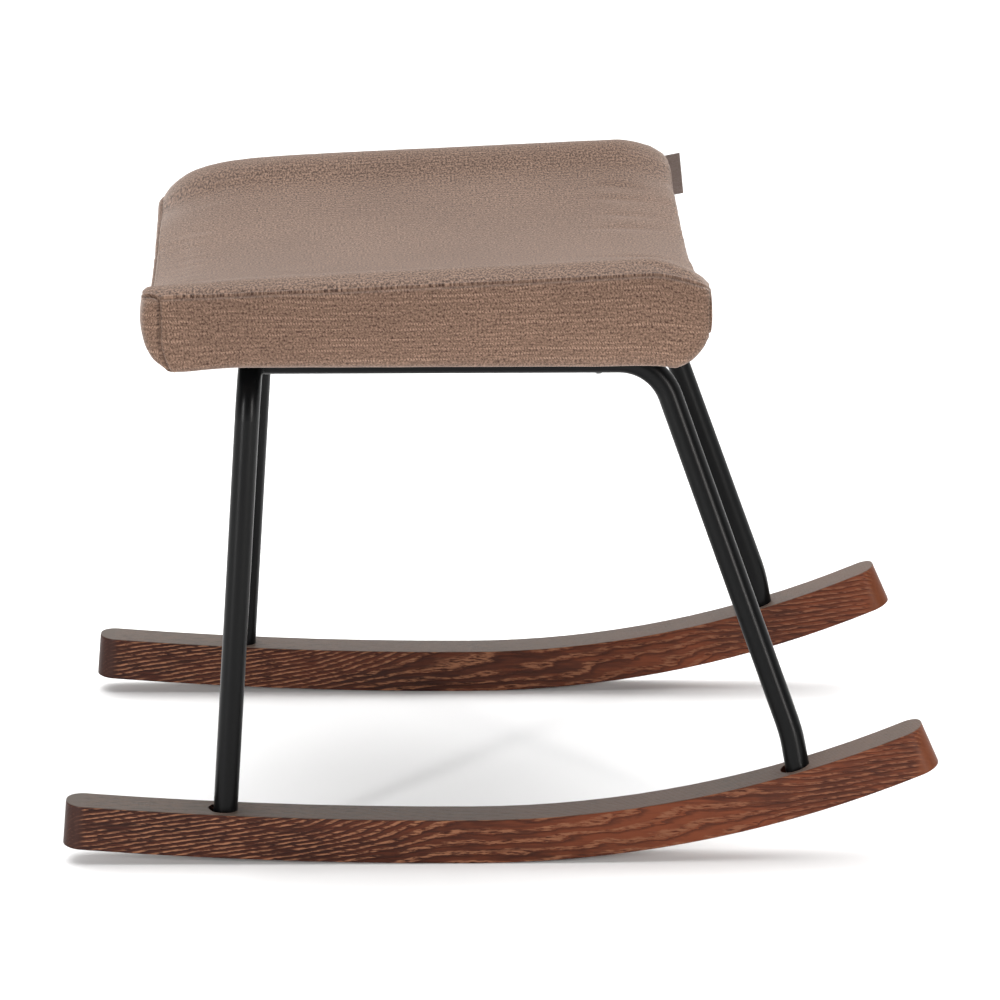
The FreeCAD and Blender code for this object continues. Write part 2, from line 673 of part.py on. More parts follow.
def make_seat_board(label):
    board = make_sheet_piece(label, ("board_left_x", "board_right_x", "-board_y", "board_y"),
                             "board_thickness", "board_z", "board_corner")
    thickness = number("board_thickness")
    for x_alias, side, point in seat_fixings():
        drill(board, "nut_hole_radius", "board_drill_reach", upright(point, -thickness))
        nut_seat = thickness - number("nut_flange_thickness")
        drill(board, "nut_seat_radius", "board_drill_reach", upright(point, nut_seat))
    return board


def make_dust_cover(label):
    cover = make_sheet_piece(label, ("dust_left_x", "dust_right_x", "-dust_y", "dust_y"),
                             "dust_cover_thickness", "dust_cover_z", "board_corner")
    for x_alias, side, point in seat_fixings():
        drill(cover, "nut_hole_radius", "board_drill_reach", upright(point, -number("board_thickness")))
    return cover


def make_nut(name, point):
    """A flanged nut let into the board from above, flush with its top."""
    body = new_body(name)
    flange = new_sketch(body, name + "_flange", "XY_Plane")
    add_circle(flange, None, None, "nut_flange_radius", "flange")
    flange_pad = pad(body, flange, "nut_flange_thickness")
    flange_pad.Reversed = True
    barrel = new_sketch(body, name + "_barrel", "XY_Plane")
    add_circle(barrel, None, None, "nut_barrel_radius", "barrel")
    barrel_pad = pad(body, barrel, "nut_barrel_length")
    barrel_pad.Reversed = True
    drill(body, "seat_screw_bore", "board_drill_reach", upright(vector(0, 0), -2 * number("board_thickness")))
    body.Placement = upright(point, number("board_top_z"))
    doc.recompute()
    return body


# Cushion: lofts along X through cross sections made of lines and arcs

def rounded_off(distance, reach, drop):
    """How far a quarter ellipse has fallen away at this distance from its end, where a flat is left."""
    share = min(max(reach - distance - number("end_flat"), 0) / reach, 1)
    return drop * (1 - math.sqrt(1 - share ** 2))


def end_distances(x, shrink):
    return x - number("seat_left_x") - shrink, number("seat_right_x") - shrink - x


def end_rounding(kind, x, shrink):
    """How far one line of the cushion has fallen away at x: its crest, dish or plan outline."""
    from_left, from_right = end_distances(x, shrink)
    left, right = number(f"left_{kind}_round"), number(f"right_{kind}_round")
    return rounded_off(from_left, left, left) + rounded_off(from_right, right, right)


def left_fall(x):
    """The top drops away towards the left end."""
    reach = number("left_fall_start") - number("seat_left_x")
    share = max(number("left_fall_start") - x, 0) / reach
    return number("left_fall") * share ** 1.6


def base_height(x, shrink, rise):
    """The underside, lifted towards both ends: by base_rise at the sides, by base_middle between."""
    from_left, from_right = end_distances(x, shrink)
    left = rounded_off(from_left, number("left_base_reach"), number("left_" + rise))
    right = rounded_off(from_right, number("right_base_reach"), number("right_" + rise))
    return number("cushion_z") + shrink + left + right


def crest_height(x, shrink):
    full = number("cushion_z") + number("cushion_height") - shrink
    return full - left_fall(x) - end_rounding("crest", x, shrink)


def dish_height(x, shrink):
    full = number("cushion_z") + number("cushion_height") - number("dish_depth")
    return full - shrink - left_fall(x) - end_rounding("dish", x, shrink)


def seam_height(x, shrink=0.0):
    return crest_height(x, shrink) - number("crest_rise")


def half_width(x, shrink=0.0):
    return number("seat_half_width") - shrink - end_rounding("plan", x, shrink)


def arc_through(start, middle, end):
    return Part.Arc(start, middle, end).toShape()


def cushion_section(x, shrink):
    """Flat base, round lower edges, bulging gussets, rolled crests and the dish between them."""
    def point(y, z):
        return vector(x, y, z)
    width, seam = half_width(x, shrink), seam_height(x, shrink)
    base, base_middle = base_height(x, shrink, "base_rise"), base_height(x, shrink, "base_middle")
    crest, dish = crest_height(x, shrink), dish_height(x, shrink)
    rolled_in = number("crest_roll")
    low = number("lower_edge_radius") - shrink
    bevel = low * (1 - math.sqrt(0.5))
    gusset_low = base + low
    bulge = number("side_bulge") * (seam - gusset_low) / number("cushion_height")
    roll_end = crest - 0.45 * number("crest_rise")
    inner = width - rolled_in
    edges = []
    for side in (-1, 1):
        half = [
            arc_through(point(side * (width - low), base), point(side * (width - bevel), base + bevel),
                        point(side * width, gusset_low)),
            arc_through(point(side * width, gusset_low),
                        point(side * (width + bulge), (gusset_low + seam) / 2),
                        point(side * width, seam)),
            arc_through(point(side * width, seam), point(side * (width - rolled_in / 3), crest - 0.15),
                        point(side * inner, roll_end)),
        ]
        edges.append(half)
    dish_edge = arc_through(point(-inner, roll_end), point(0, dish), point(inner, roll_end))
    if base - base_middle > number("fit_clearance"):
        base_edge = arc_through(point(width - low, base), point(0, base_middle), point(-(width - low), base))
    else:
        base_edge = Part.LineSegment(point(width - low, base), point(-(width - low), base)).toShape()
    return Part.Wire(edges[0] + [dish_edge] + edges[1][::-1] + [base_edge])


def station_places(shrink):
    """Where the cross sections stand: close together at the round ends, far apart between them."""
    left = number("seat_left_x") + shrink
    right = number("seat_right_x") - shrink
    near_left, near_right = number("left_fall_start") - left, 24
    from_left = [0, 1, 3, 6.5, 12, 20, 33, 55, 90, 135, 190, near_left]
    from_right = [near_right, 16, 10, 5, 2, 0]
    return [left + step for step in from_left] + [right - step for step in from_right]


def cushion_form(shrink):
    """The cushion's outer form, drawn in by the shrink on every side."""
    sections = [cushion_section(x, shrink) for x in station_places(shrink)]
    return Part.makeLoft(sections, True, True)


def block(x0, x1, y0, y1, z0, z1):
    return Part.makeBox(x1 - x0, y1 - y0, z1 - z0, vector(x0, y0, z0))


def board_space(low):
    """The board with a hair of room around and above it, from the given height up."""
    gap = number("fit_clearance")
    return block(number("board_left_x") - gap, number("board_right_x") + gap,
                 -number("board_y") - gap, number("board_y") + gap, low, number("board_top_z") + gap)


def cover_shell(outer, inner):
    """The sewn cover: the skin between the two forms, open below inside its turned-under margin."""
    opening = block(number("opening_left_x"), number("opening_right_x"),
                    -number("opening_y"), number("opening_y"),
                    number("cushion_z") - 1, number("board_z") + 1)
    return outer.cut(inner.fuse(board_space(number("board_z")))).cut(opening)


def panel_seams():
    """The x places of the seams between the end panels and the middle ones."""
    return (number("seat_left_x") + number("left_panel_depth"),
            number("seat_right_x") - number("right_panel_depth"))


def fold_top(x):
    """How high the turned-under cloth may reach at x: just below the lining of the dish."""
    return dish_height(x, number("cover_thickness")) - 1


def gusset_tool(side):
    """The space of one gusset: below its top seam, between the end seams, with its turned-under margin."""
    left, right = panel_seams()
    base = number("cushion_z") - number("cover_thickness")
    stations = [left] + [x for x in station_places(0) if left < x < right] + [right]
    seam_line = [vector(x, 0, seam_height(x) - number("seam_gap")) for x in stations]
    start = vector(left, 0, base)
    outline = Part.makePolygon([start] + seam_line + [vector(right, 0, base), start])
    inner_y = number("seat_half_width") - 2 * number("cover_thickness")
    wall = Part.Face(outline).extrude(vector(0, number("seat_half_width"), 0))
    wall.translate(vector(0, inner_y, 0))
    margin = block(left, right, number("opening_y"), inner_y + 1, base, fold_top(right))
    tool = wall.fuse(margin)
    return tool if side > 0 else tool.mirror(vector(0, 0, 0), vector(0, 1, 0))


def end_tool(side):
    """The space of one end panel: all beyond its seam, and the margin turned under the board."""
    name = "left" if side < 0 else "right"
    seam = panel_seams()[0 if side < 0 else 1]
    top_seam = seam + side * (number(name + "_panel_depth") - number(name + "_panel_top"))
    reach, corner = number("seat_width"), number("panel_corner")
    outer_y = number("seat_half_width") - number("crest_rise")
    half = [(top_seam, outer_y - corner), (seam, outer_y), (seam, reach), (seam + side * reach, reach)]
    outline = [vector(x, y) for x, y in half] + [vector(x, -y) for x, y in half[::-1]]
    beyond = Part.Face(Part.makePolygon(outline + outline[:1])).extrude(vector(0, 0, 2 * reach))
    low_end = block(*sorted((seam, seam + side * reach)), -reach, reach, 0, fold_top(top_seam))
    margin = block(*sorted((seam, number(f"opening_{name}_x"))), -number("opening_y"), number("opening_y"),
                   number("cushion_z") - 1, fold_top(top_seam))
    return beyond.fuse(low_end).fuse(margin)


def add_shape(label, shape):
    piece = doc.addObject("Part::Feature", label)
    piece.Label = label
    piece.Shape = shape.removeSplitter() if len(shape.Solids) > 1 else shape
    return piece


def make_cushion():
    """The foam, and the five sewn panels of its cover."""
    outer = cushion_form(0.0)
    inner = cushion_form(number("cover_thickness"))
    foam_form = cushion_form(number("cover_thickness") + number("fit_clearance"))
    foam = foam_form.cut(board_space(number("cushion_z")))
    shell = cover_shell(outer, inner)
    tools = {
        "left_end_panel": end_tool(-1),
        "right_end_panel": end_tool(1),
        "front_gusset": gusset_tool(-1),
        "back_gusset": gusset_tool(1),
    }
    pieces = [add_shape("foam_pad", foam)]
    rest = shell
    for label, tool in tools.items():
        pieces.append(add_shape(label, shell.common(tool)))
        rest = rest.cut(tool)
    pieces.append(add_shape("top_panel", rest))
    return pieces, outer


def make_tag(label, cushion):
    """A bare woven flag sewn into the upright seam at the back right corner."""
    right = number("seat_right_x")
    back = number("seat_half_width") - number("lower_edge_radius")
    top = crest_height(right - number("right_panel_depth"), 0) - number("tag_top_drop")
    flag = block(right - number("tag_reach"), right + number("tag_reach"),
                 back, back + number("tag_thickness"),
                 top - number("tag_height"), top)
    return add_shape(label, flag.cut(cushion))


# The whole stool

def make_frame():
    arch_outside = make_arch("arch_outside", hollow=False)
    nodes = [make_arch("left_leg_arch")]
    for label, side in (("front_side_tube", -1), ("back_side_tube", 1)):
        nodes.append(make_side_tube(label, side, arch_outside))
    nodes.append(make_cross_tube("right_cross_tube"))
    nodes.append(group("seat_tabs", [make_tab(f"tab_{index}", x_alias, side)
                                     for index, (x_alias, side, point) in enumerate(seat_fixings())]))
    return nodes


def make_leg_fixings():
    """Under each leg: an insert in its lower end, and a bolt and washer from below."""
    inserts, bolts, washers = [], [], []
    gap = number("fit_clearance")
    for index, (end, side) in enumerate((end, side) for end in ("arch", "leg") for side in (-1, 1)):
        floor = foot_placement(end, side)
        washer_thickness = number("rocker_washer_thickness")
        under_web = -number("socket_web") - gap - washer_thickness
        inserts.append(make_ring(f"insert_{index}", "insert_radius", "rocker_bolt_bore", "insert_length",
                                 lifted(floor, gap)))
        washers.append(make_ring(f"rocker_washer_{index}", "rocker_washer_radius", "rocker_bolt_bore",
                                 "rocker_washer_thickness", lifted(floor, under_web)))
        bolts.append(make_bolt(f"rocker_bolt_{index}", "rocker_bolt", lifted(floor, under_web)))
    return [group("leg_inserts", inserts), group("rocker_bolts", bolts), group("rocker_washers", washers)]


def make_seat_fixings():
    nuts, screws, washers = [], [], []
    under_tab = number("tab_z") - number("fit_clearance") - number("seat_washer_thickness")
    for index, (x_alias, side, point) in enumerate(seat_fixings()):
        nuts.append(make_nut(f"nut_{index}", point))
        washers.append(make_ring(f"seat_washer_{index}", "seat_washer_radius", "seat_screw_bore",
                                 "seat_washer_thickness", upright(point, under_tab)))
        screws.append(make_bolt(f"seat_screw_{index}", "seat_screw", upright(point, under_tab)))
    return [group("t_nuts", nuts), group("seat_screws", screws), group("seat_washers", washers)]


def make_stool():
    nodes = [make_rocker("front_rocker", -1), make_rocker("back_rocker", 1)]
    nodes += make_frame()
    nodes += make_leg_fixings()
    nodes += [make_seat_board("seat_board"), make_dust_cover("dust_cover")]
    nodes += make_seat_fixings()
    cushion, form = make_cushion()
    nodes += cushion
    nodes.append(make_tag("side_tag", form))
    return nodes


def check_and_write(nodes):
    """Stops at a failed feature or an empty or broken solid, then writes one STEP file for each node."""
    doc.recompute()
    for item in doc.Objects:
        if "Invalid" in item.State or "Error" in item.State:
            raise RuntimeError(f"{item.Label} failed: {item.State}")
    for node in nodes:
        if node.Shape.isNull() or not node.Shape.isValid() or not node.Shape.Solids:
            raise RuntimeError(f"{node.Label} has no valid solid")
    os.makedirs("parts", exist_ok=True)
    for node in nodes:
        node.Shape.exportStep(f"parts/{node.Label}.step")


def main():
    check_and_write(make_stool())


if __name__ == "__main__":
    main()
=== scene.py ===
import math

import bmesh
import bpy
from mathutils import Matrix, Vector, kdtree, noise
from mathutils.bvhtree import BVHTree


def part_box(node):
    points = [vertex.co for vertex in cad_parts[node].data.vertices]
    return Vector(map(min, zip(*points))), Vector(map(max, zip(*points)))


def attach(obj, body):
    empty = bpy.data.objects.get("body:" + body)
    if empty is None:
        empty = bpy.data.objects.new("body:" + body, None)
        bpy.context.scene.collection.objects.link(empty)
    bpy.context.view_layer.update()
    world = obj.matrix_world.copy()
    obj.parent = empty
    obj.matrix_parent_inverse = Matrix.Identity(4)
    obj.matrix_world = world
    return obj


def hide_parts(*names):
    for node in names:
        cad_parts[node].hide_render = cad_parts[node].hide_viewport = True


# Rocking footstool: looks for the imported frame. All lengths are in metres.
# X runs along the rockers, the front is at -Y and Z is up, as in the frame.

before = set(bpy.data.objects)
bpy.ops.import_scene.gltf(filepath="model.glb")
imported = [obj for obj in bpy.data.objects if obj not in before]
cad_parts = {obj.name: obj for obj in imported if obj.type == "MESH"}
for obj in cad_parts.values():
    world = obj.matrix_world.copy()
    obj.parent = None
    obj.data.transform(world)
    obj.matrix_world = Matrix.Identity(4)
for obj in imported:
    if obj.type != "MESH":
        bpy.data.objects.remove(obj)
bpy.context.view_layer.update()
scene = bpy.context.scene
MM = 0.001


def node_box(name):
    low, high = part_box(name)
    return Vector(low), Vector(high)


DUST_LOW, DUST_HIGH = node_box("dust_cover")
FOAM_LOW = node_box("foam_pad")[0]


# Shader building

class Graph:
    """Adds nodes to one shader tree. A value may be a number, a tuple or another node's output."""

    def __init__(self, tree):
        self.tree = tree

    def plug(self, socket, value):
        if isinstance(value, bpy.types.NodeSocket):
            self.tree.links.new(value, socket)
        else:
            socket.default_value = value

    def add(self, kind, inputs=None, **settings):
        item = self.tree.nodes.new("ShaderNode" + kind)
        for name, value in settings.items():
            setattr(item, name, value)
        for name, value in (inputs or {}).items():
            self.plug(item.inputs[name], value)
        return item

    def math(self, operation, first, second=0.0, clamp=False):
        return self.add("Math", {0: first, 1: second}, operation=operation, use_clamp=clamp).outputs[0]

    def scale(self, vector, factors):
        return self.add("VectorMath", {0: vector, 1: factors}, operation="MULTIPLY").outputs[0]

    def split(self, vector):
        return self.add("SeparateXYZ", {0: vector}).outputs

    def join(self, x, y, z):
        return self.add("CombineXYZ", {0: x, 1: y, 2: z}).outputs[0]

    def noise(self, vector, scale, detail=3.0, roughness=0.5):
        values = {"Vector": vector, "Scale": scale, "Detail": detail, "Roughness": roughness}
        return self.add("TexNoise", values).outputs["Fac"]

    def ramp(self, value, low, high, start=0.0, end=1.0):
        """The value from low to high turned smoothly into start to end."""
        values = {"Value": value, "From Min": low, "From Max": high, "To Min": start, "To Max": end}
        return self.add("MapRange", values, interpolation_type="SMOOTHSTEP").outputs["Result"]

    def mix(self, factor, first, second):
        item = self.add("Mix", {"Factor": factor}, data_type="RGBA")
        self.plug(item.inputs[6], first)
        self.plug(item.inputs[7], second)
        return item.outputs[2]

    def bump(self, height, distance):
        values = {"Height": height, "Distance": distance, "Strength": 1.0}
        return self.add("Bump", values).outputs["Normal"]


def colour(red, green, blue):
    return (red, green, blue, 1.0)


def new_group(name, inputs, outputs):
    """A shader node group with named sockets. Returns the group, its graph and its inputs."""
    group = bpy.data.node_groups.new(name, "ShaderNodeTree")
    for socket, (kind, value) in inputs.items():
        item = group.interface.new_socket(socket, in_out="INPUT", socket_type="NodeSocket" + kind)
        if value is not None:
            item.default_value = value
    for socket, kind in outputs.items():
        group.interface.new_socket(socket, in_out="OUTPUT", socket_type="NodeSocket" + kind)
    entry = group.nodes.new("NodeGroupInput")
    leave = group.nodes.new("NodeGroupOutput")
    return group, Graph(group), entry.outputs, leave.inputs


def new_material(name, shader_values):
    """A material with one main shader, whose plain values are set on its own sockets."""
    material = bpy.data.materials.new(name)
    material.use_nodes = True
    graph = Graph(material.node_tree)
    shader = material.node_tree.nodes["Principled BSDF"]
    for socket, value in shader_values.items():
        shader.inputs[socket].default_value = value
    return material, graph, shader


def place_group(graph, group, inputs):
    item = graph.tree.nodes.new("ShaderNodeGroup")
    item.node_tree = group
    for name, value in inputs.items():
        graph.plug(item.inputs[name], value)
    return item.outputs


# Weave: rows of light dashes over a darker ground, from a cloth coordinate in metres

def make_weave_group():
    group, g, entry, leave = new_group(
        "woven_cloth",
        {"Cloth": ("Vector", None), "Dark": ("Color", colour(0.1, 0.06, 0.04)),
         "Light": ("Color", colour(0.4, 0.3, 0.2)), "Row pitch": ("Float", 0.004),
         "Dash pitch": ("Float", 0.002), "Rows": ("Float", 1.0), "Fleck": ("Float", 1.0)},
        {"Color": "Color", "Height": "Float"})
    u, v, w = g.split(entry["Cloth"])
    sway = g.math("SUBTRACT", g.noise(entry["Cloth"], 55.0, 2.0), 0.5)
    row_place = g.math("ADD", g.math("DIVIDE", v, entry["Row pitch"]), g.math("MULTIPLY", sway, 0.5))
    row_number = g.math("FLOOR", row_place)
    row_wave = g.math("COSINE", g.math("MULTIPLY", row_place, 2 * math.pi))
    row = g.ramp(row_wave, -0.1, -0.75)
    slant = g.math("MULTIPLY", row_place, 0.8)
    dash_place = g.math("ADD", g.math("DIVIDE", u, entry["Dash pitch"]), slant)
    dash_place = g.math("ADD", dash_place, g.math("MULTIPLY", sway, 1.2))
    dash = g.ramp(g.math("COSINE", g.math("MULTIPLY", dash_place, 2 * math.pi)), -0.5, 0.9)
    along = g.join(g.math("MULTIPLY", u, 22.0), g.math("MULTIPLY", row_number, 3.7), w)
    slub = g.ramp(g.noise(along, 1.0, 2.0, 0.6), 0.38, 0.68)
    thread = g.noise(g.scale(entry["Cloth"], (90.0, 900.0, 1.0)), 1.0, 2.0)
    fleck = g.noise(entry["Cloth"], 620.0, 2.0, 0.65)
    fine = g.noise(entry["Cloth"], 1500.0, 1.0, 0.5)
    uneven = g.math("ADD", g.math("MULTIPLY", slub, 0.85), 0.15)
    stitched = g.math("MULTIPLY", g.math("MULTIPLY", row, dash), uneven)
    tone = g.math("MULTIPLY", stitched, g.math("MULTIPLY", entry["Rows"], 0.62))
    tone = g.math("ADD", tone, g.math("MULTIPLY", g.math("SUBTRACT", thread, 0.5), 0.5))
    flecks = g.math("MULTIPLY", g.math("SUBTRACT", fleck, 0.5), g.math("MULTIPLY", entry["Fleck"], 1.9))
    tone = g.math("ADD", tone, flecks)
    tone = g.math("ADD", tone, g.math("MULTIPLY", g.math("SUBTRACT", fine, 0.5), 0.5))
    light = g.math("ADD", tone, 0.4, clamp=True)
    g.plug(leave["Color"], g.mix(light, entry["Dark"], entry["Light"]))
    relief = g.math("ADD", g.math("MULTIPLY", stitched, 0.7), g.math("MULTIPLY", fleck, 0.9))
    g.plug(leave["Height"], relief)
    return group


def make_cloth_material(name, weave, dark, light, rows, fleck, relief, shader_values):
    material, g, shader = new_material(name, shader_values)
    cloth = g.add("UVMap", uv_map="cloth").outputs["UV"]
    place = g.add("TexCoord").outputs["Object"]
    woven = place_group(g, weave, {"Cloth": cloth, "Dark": dark, "Light": light, "Rows": rows,
                                   "Fleck": fleck})
    patches = g.ramp(g.noise(place, 9.0, 3.0), 0.3, 0.7, 0.0, 1.0)
    shade = g.mix(g.math("MULTIPLY", patches, 0.16), woven["Color"], dark)
    # Close to a seam the colour is pulled a quarter of the way to the dark thread colour: painted shade in
    # the seam's groove. The weave's relief fades there too.
    near_seam = g.add("Attribute", attribute_name="near_seam").outputs["Fac"]
    g.plug(shader.inputs["Base Color"], g.mix(g.math("MULTIPLY", near_seam, 0.25), shade, dark))
    height = g.math("MULTIPLY", woven["Height"], g.math("SUBTRACT", 1.0, near_seam, clamp=True))
    g.plug(shader.inputs["Normal"], g.bump(height, relief))
    return material


# Painted steel and plain steel

def make_finish_group():
    """Roughness and relief of a coated surface: fine grain and faint wiped patches."""
    group, g, entry, leave = new_group(
        "coated_surface",
        {"Place": ("Vector", None), "Roughness": ("Float", 0.4), "Spread": ("Float", 0.1)},
        {"Roughness": "Float", "Height": "Float", "Wear": "Float"})
    patches = g.noise(entry["Place"], 14.0, 4.0, 0.6)
    grain = g.noise(entry["Place"], 900.0, 2.0, 0.6)
    offset = g.math("MULTIPLY", g.math("SUBTRACT", patches, 0.5), entry["Spread"])
    g.plug(leave["Roughness"], g.math("ADD", entry["Roughness"], offset, clamp=True))
    g.plug(leave["Height"], grain)
    g.plug(leave["Wear"], g.ramp(patches, 0.62, 0.75))
    return group


def make_metal_material(name, finish, base, wear_and_painted_reflection, roughness, spread, relief, shader_values):
    material, g, shader = new_material(name, shader_values)
    place = g.add("TexCoord").outputs["Object"]
    coat = place_group(g, finish, {"Place": place, "Roughness": roughness, "Spread": spread})
    g.plug(shader.inputs["Base Color"], g.mix(coat["Wear"], base, wear_and_painted_reflection))
    g.plug(shader.inputs["Roughness"], coat["Roughness"])
    g.plug(shader.inputs["Normal"], g.bump(coat["Height"], relief))
    return material


# Open-grained wood, sawn from a straight board: the grain runs along X whatever the rocker's curve

def make_grain_group():
    group, g, entry, leave = new_group(
        "open_grain",
        {"Place": ("Vector", None), "Dark": ("Color", colour(0.04, 0.01, 0.006)),
         "Middle": ("Color", colour(0.1, 0.03, 0.015)), "Pore": ("Color", colour(0.2, 0.09, 0.05)),
         "Rings per metre": ("Float", 200.0), "Rise": ("Float", 0.12), "Figure": ("Float", 1.0)},
        {"Color": "Color", "Height": "Float", "Bands": "Float"})
    x, y, z = g.split(entry["Place"])
    level = g.math("SUBTRACT", g.math("SUBTRACT", z, 0.02), g.math("MULTIPLY", x, entry["Rise"]))
    figure = g.math("SUBTRACT", g.noise(g.scale(entry["Place"], (7.5, 5.0, 30.0)), 1.0, 2.0, 0.5), 0.5)
    ripple = g.math("SUBTRACT", g.noise(g.scale(entry["Place"], (55.0, 60.0, 210.0)), 1.0, 3.0, 0.6), 0.5)
    rings = g.math("MULTIPLY", level, entry["Rings per metre"])
    rings = g.math("ADD", rings, g.math("MULTIPLY", figure, g.math("MULTIPLY", entry["Figure"], 4.2)))
    rings = g.math("ADD", rings, g.math("MULTIPLY", ripple, 0.75))
    rings = g.math("ADD", rings, g.math("MULTIPLY", y, 330.0))
    part = g.math("FRACT", rings)
    opened = g.ramp(part, 0.02, 0.1)
    closed = g.ramp(part, 0.5, 0.36)
    bands = g.math("MULTIPLY", opened, closed)
    stipple = g.noise(g.scale(entry["Place"], (110.0, 500.0, 760.0)), 1.0, 3.0, 0.62)
    clumps = g.ramp(g.noise(g.scale(entry["Place"], (30.0, 90.0, 120.0)), 1.0, 2.0, 0.5), 0.3, 0.5)
    pores = g.math("MULTIPLY", g.math("MULTIPLY", bands, g.ramp(stipple, 0.4, 0.56)), clumps)
    pits = g.math("MULTIPLY", bands, g.ramp(stipple, 0.43, 0.33))
    rim = g.math("MULTIPLY", g.ramp(part, 0.74, 0.97), g.math("SUBTRACT", 1.0, g.ramp(part, 0.98, 1.0)))
    fine = g.noise(g.scale(entry["Place"], (35.0, 300.0, 420.0)), 1.0, 3.0, 0.6)
    cloud = g.noise(g.scale(entry["Place"], (6.0, 12.0, 22.0)), 1.0, 3.0, 0.5)
    ground_tone = g.math("ADD", g.math("MULTIPLY", fine, 0.45), g.math("MULTIPLY", cloud, 0.55))
    ground = g.mix(g.ramp(ground_tone, 0.36, 0.62), entry["Dark"], entry["Middle"])
    ground = g.mix(g.math("MULTIPLY", rim, 0.75), ground, entry["Dark"])
    ground = g.mix(g.math("MULTIPLY", pits, 0.8), ground, entry["Dark"])
    g.plug(leave["Color"], g.mix(g.math("MULTIPLY", pores, 0.9), ground, entry["Pore"]))
    g.plug(leave["Height"], g.math("SUBTRACT", g.math("MULTIPLY", pores, 0.6), g.math("ADD", pits, rim)))
    g.plug(leave["Bands"], bands)
    return group


def make_rocker_material(grain):
    material, g, shader = new_material("rocker_wood_lacquered", {
        "Specular IOR Level": 0.12, "Coat Weight": 0.06, "Coat Roughness": 0.2, "Coat IOR": 1.5})
    place = g.add("TexCoord").outputs["Object"]
    x = g.split(place)[0]
    ring_count = g.math("ADD", g.ramp(x, -0.17, -0.02, 285.0, 105.0), g.ramp(x, 0.14, 0.26, 0.0, 130.0))
    figure = g.math("SUBTRACT", g.ramp(x, -0.2, 0.0, 0.28, 1.0), g.ramp(x, 0.16, 0.27, 0.0, 0.55))
    # Along X the ground and end-grain colours run from dark at the left to light at the right: painted shade
    # at the left end and painted light at the right end. The pores run the other way, paler at the left, as
    # a change in grain contrast.
    painted_light_and_pore_ramp = g.ramp(x, -0.25, 0.25)
    dark = g.mix(painted_light_and_pore_ramp, colour(0.017, 0.0044, 0.0026), colour(0.042, 0.0115, 0.0056))
    middle = g.mix(painted_light_and_pore_ramp, colour(0.052, 0.013, 0.006), colour(0.135, 0.034, 0.0128))
    pore = g.mix(painted_light_and_pore_ramp, colour(0.25, 0.11, 0.058), colour(0.16, 0.06, 0.03))
    wood = place_group(g, grain, {
        "Place": place, "Dark": dark, "Middle": middle, "Pore": pore, "Rings per metre": ring_count,
        "Rise": 0.15, "Figure": figure})
    tip = node_box("front_rocker")[1].x
    end = g.ramp(g.math("ABSOLUTE", x), tip - 0.02, tip - 0.012)
    end_grain = g.noise(g.scale(place, (400.0, 400.0, 60.0)), 1.0, 2.0)
    end_dark = g.mix(painted_light_and_pore_ramp, colour(0.022, 0.007, 0.0045), colour(0.085, 0.023, 0.0085))
    end_light = g.mix(painted_light_and_pore_ramp, colour(0.034, 0.011, 0.007), colour(0.13, 0.037, 0.0135))
    end_colour = g.mix(end_grain, end_dark, end_light)
    sides = g.mix(g.math("MULTIPLY", end, 0.9), wood["Color"], end_colour)
    # Faces that look up are blended towards grey-brown over the grain: a painted reflection of the white
    # backdrop in the lacquer.
    facing = g.split(g.add("NewGeometry").outputs["True Normal"])[2]
    wear_and_painted_reflection = g.math("MULTIPLY", g.ramp(facing, 0.6, 0.9), 0.72)
    g.plug(shader.inputs["Base Color"], g.mix(wear_and_painted_reflection, sides, colour(0.105, 0.088, 0.073)))
    g.plug(shader.inputs["Roughness"], g.math("ADD", 0.42, g.math("MULTIPLY", wood["Bands"], 0.14)))
    relief = g.math("MULTIPLY", wood["Height"], g.math("SUBTRACT", 1.0, end))
    g.plug(shader.inputs["Normal"], g.bump(relief, 0.00035))
    return material


def make_board_material(grain):
    material, g, shader = new_material("board_plywood", {"Specular IOR Level": 0.35, "Roughness": 0.7})
    place = g.add("TexCoord").outputs["Object"]
    wood = place_group(g, grain, {
        "Place": place, "Dark": colour(0.32, 0.2, 0.1), "Middle": colour(0.5, 0.36, 0.21),
        "Pore": colour(0.42, 0.28, 0.15), "Rings per metre": 80.0, "Rise": 0.02})
    g.plug(shader.inputs["Base Color"], wood["Color"])
    g.plug(shader.inputs["Normal"], g.bump(wood["Height"], 0.0002))
    return material


def dress_frame():
    """Better materials in the slots of the pieces that keep the frame's own shape."""
    grain = make_grain_group()
    finish = make_finish_group()
    rocker = make_rocker_material(grain)
    board = make_board_material(grain)
    paint = make_metal_material("frame_black_satin", finish, colour(0.0022, 0.0023, 0.0025),
                                colour(0.0035, 0.0035, 0.0037), 0.3, 0.1, 0.00002,
                                {"Specular IOR Level": 0.12})
    black = make_metal_material("bolt_black_oxide", finish, colour(0.02, 0.02, 0.022),
                                colour(0.05, 0.05, 0.052), 0.38, 0.2, 0.00002, {"Metallic": 0.6})
    zinc = make_metal_material("zinc_plate", finish, colour(0.5, 0.51, 0.53), colour(0.36, 0.37, 0.4),
                               0.34, 0.2, 0.00002, {"Metallic": 1.0})
    looks = {
        "front_rocker": rocker, "back_rocker": rocker, "left_leg_arch": paint, "front_side_tube": paint,
        "back_side_tube": paint, "right_cross_tube": paint, "seat_tabs": paint, "rocker_bolts": black,
        "seat_screws": black, "rocker_washers": zinc, "seat_washers": zinc, "leg_inserts": zinc,
        "t_nuts": zinc, "seat_board": board}
    for name, material in looks.items():
        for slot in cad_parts[name].material_slots:
            slot.material = material
    return paint, zinc


# Cushion

VOXEL = 0.005
SWELL_CAP = 0.0034
STITCH_PITCH = 0.0034
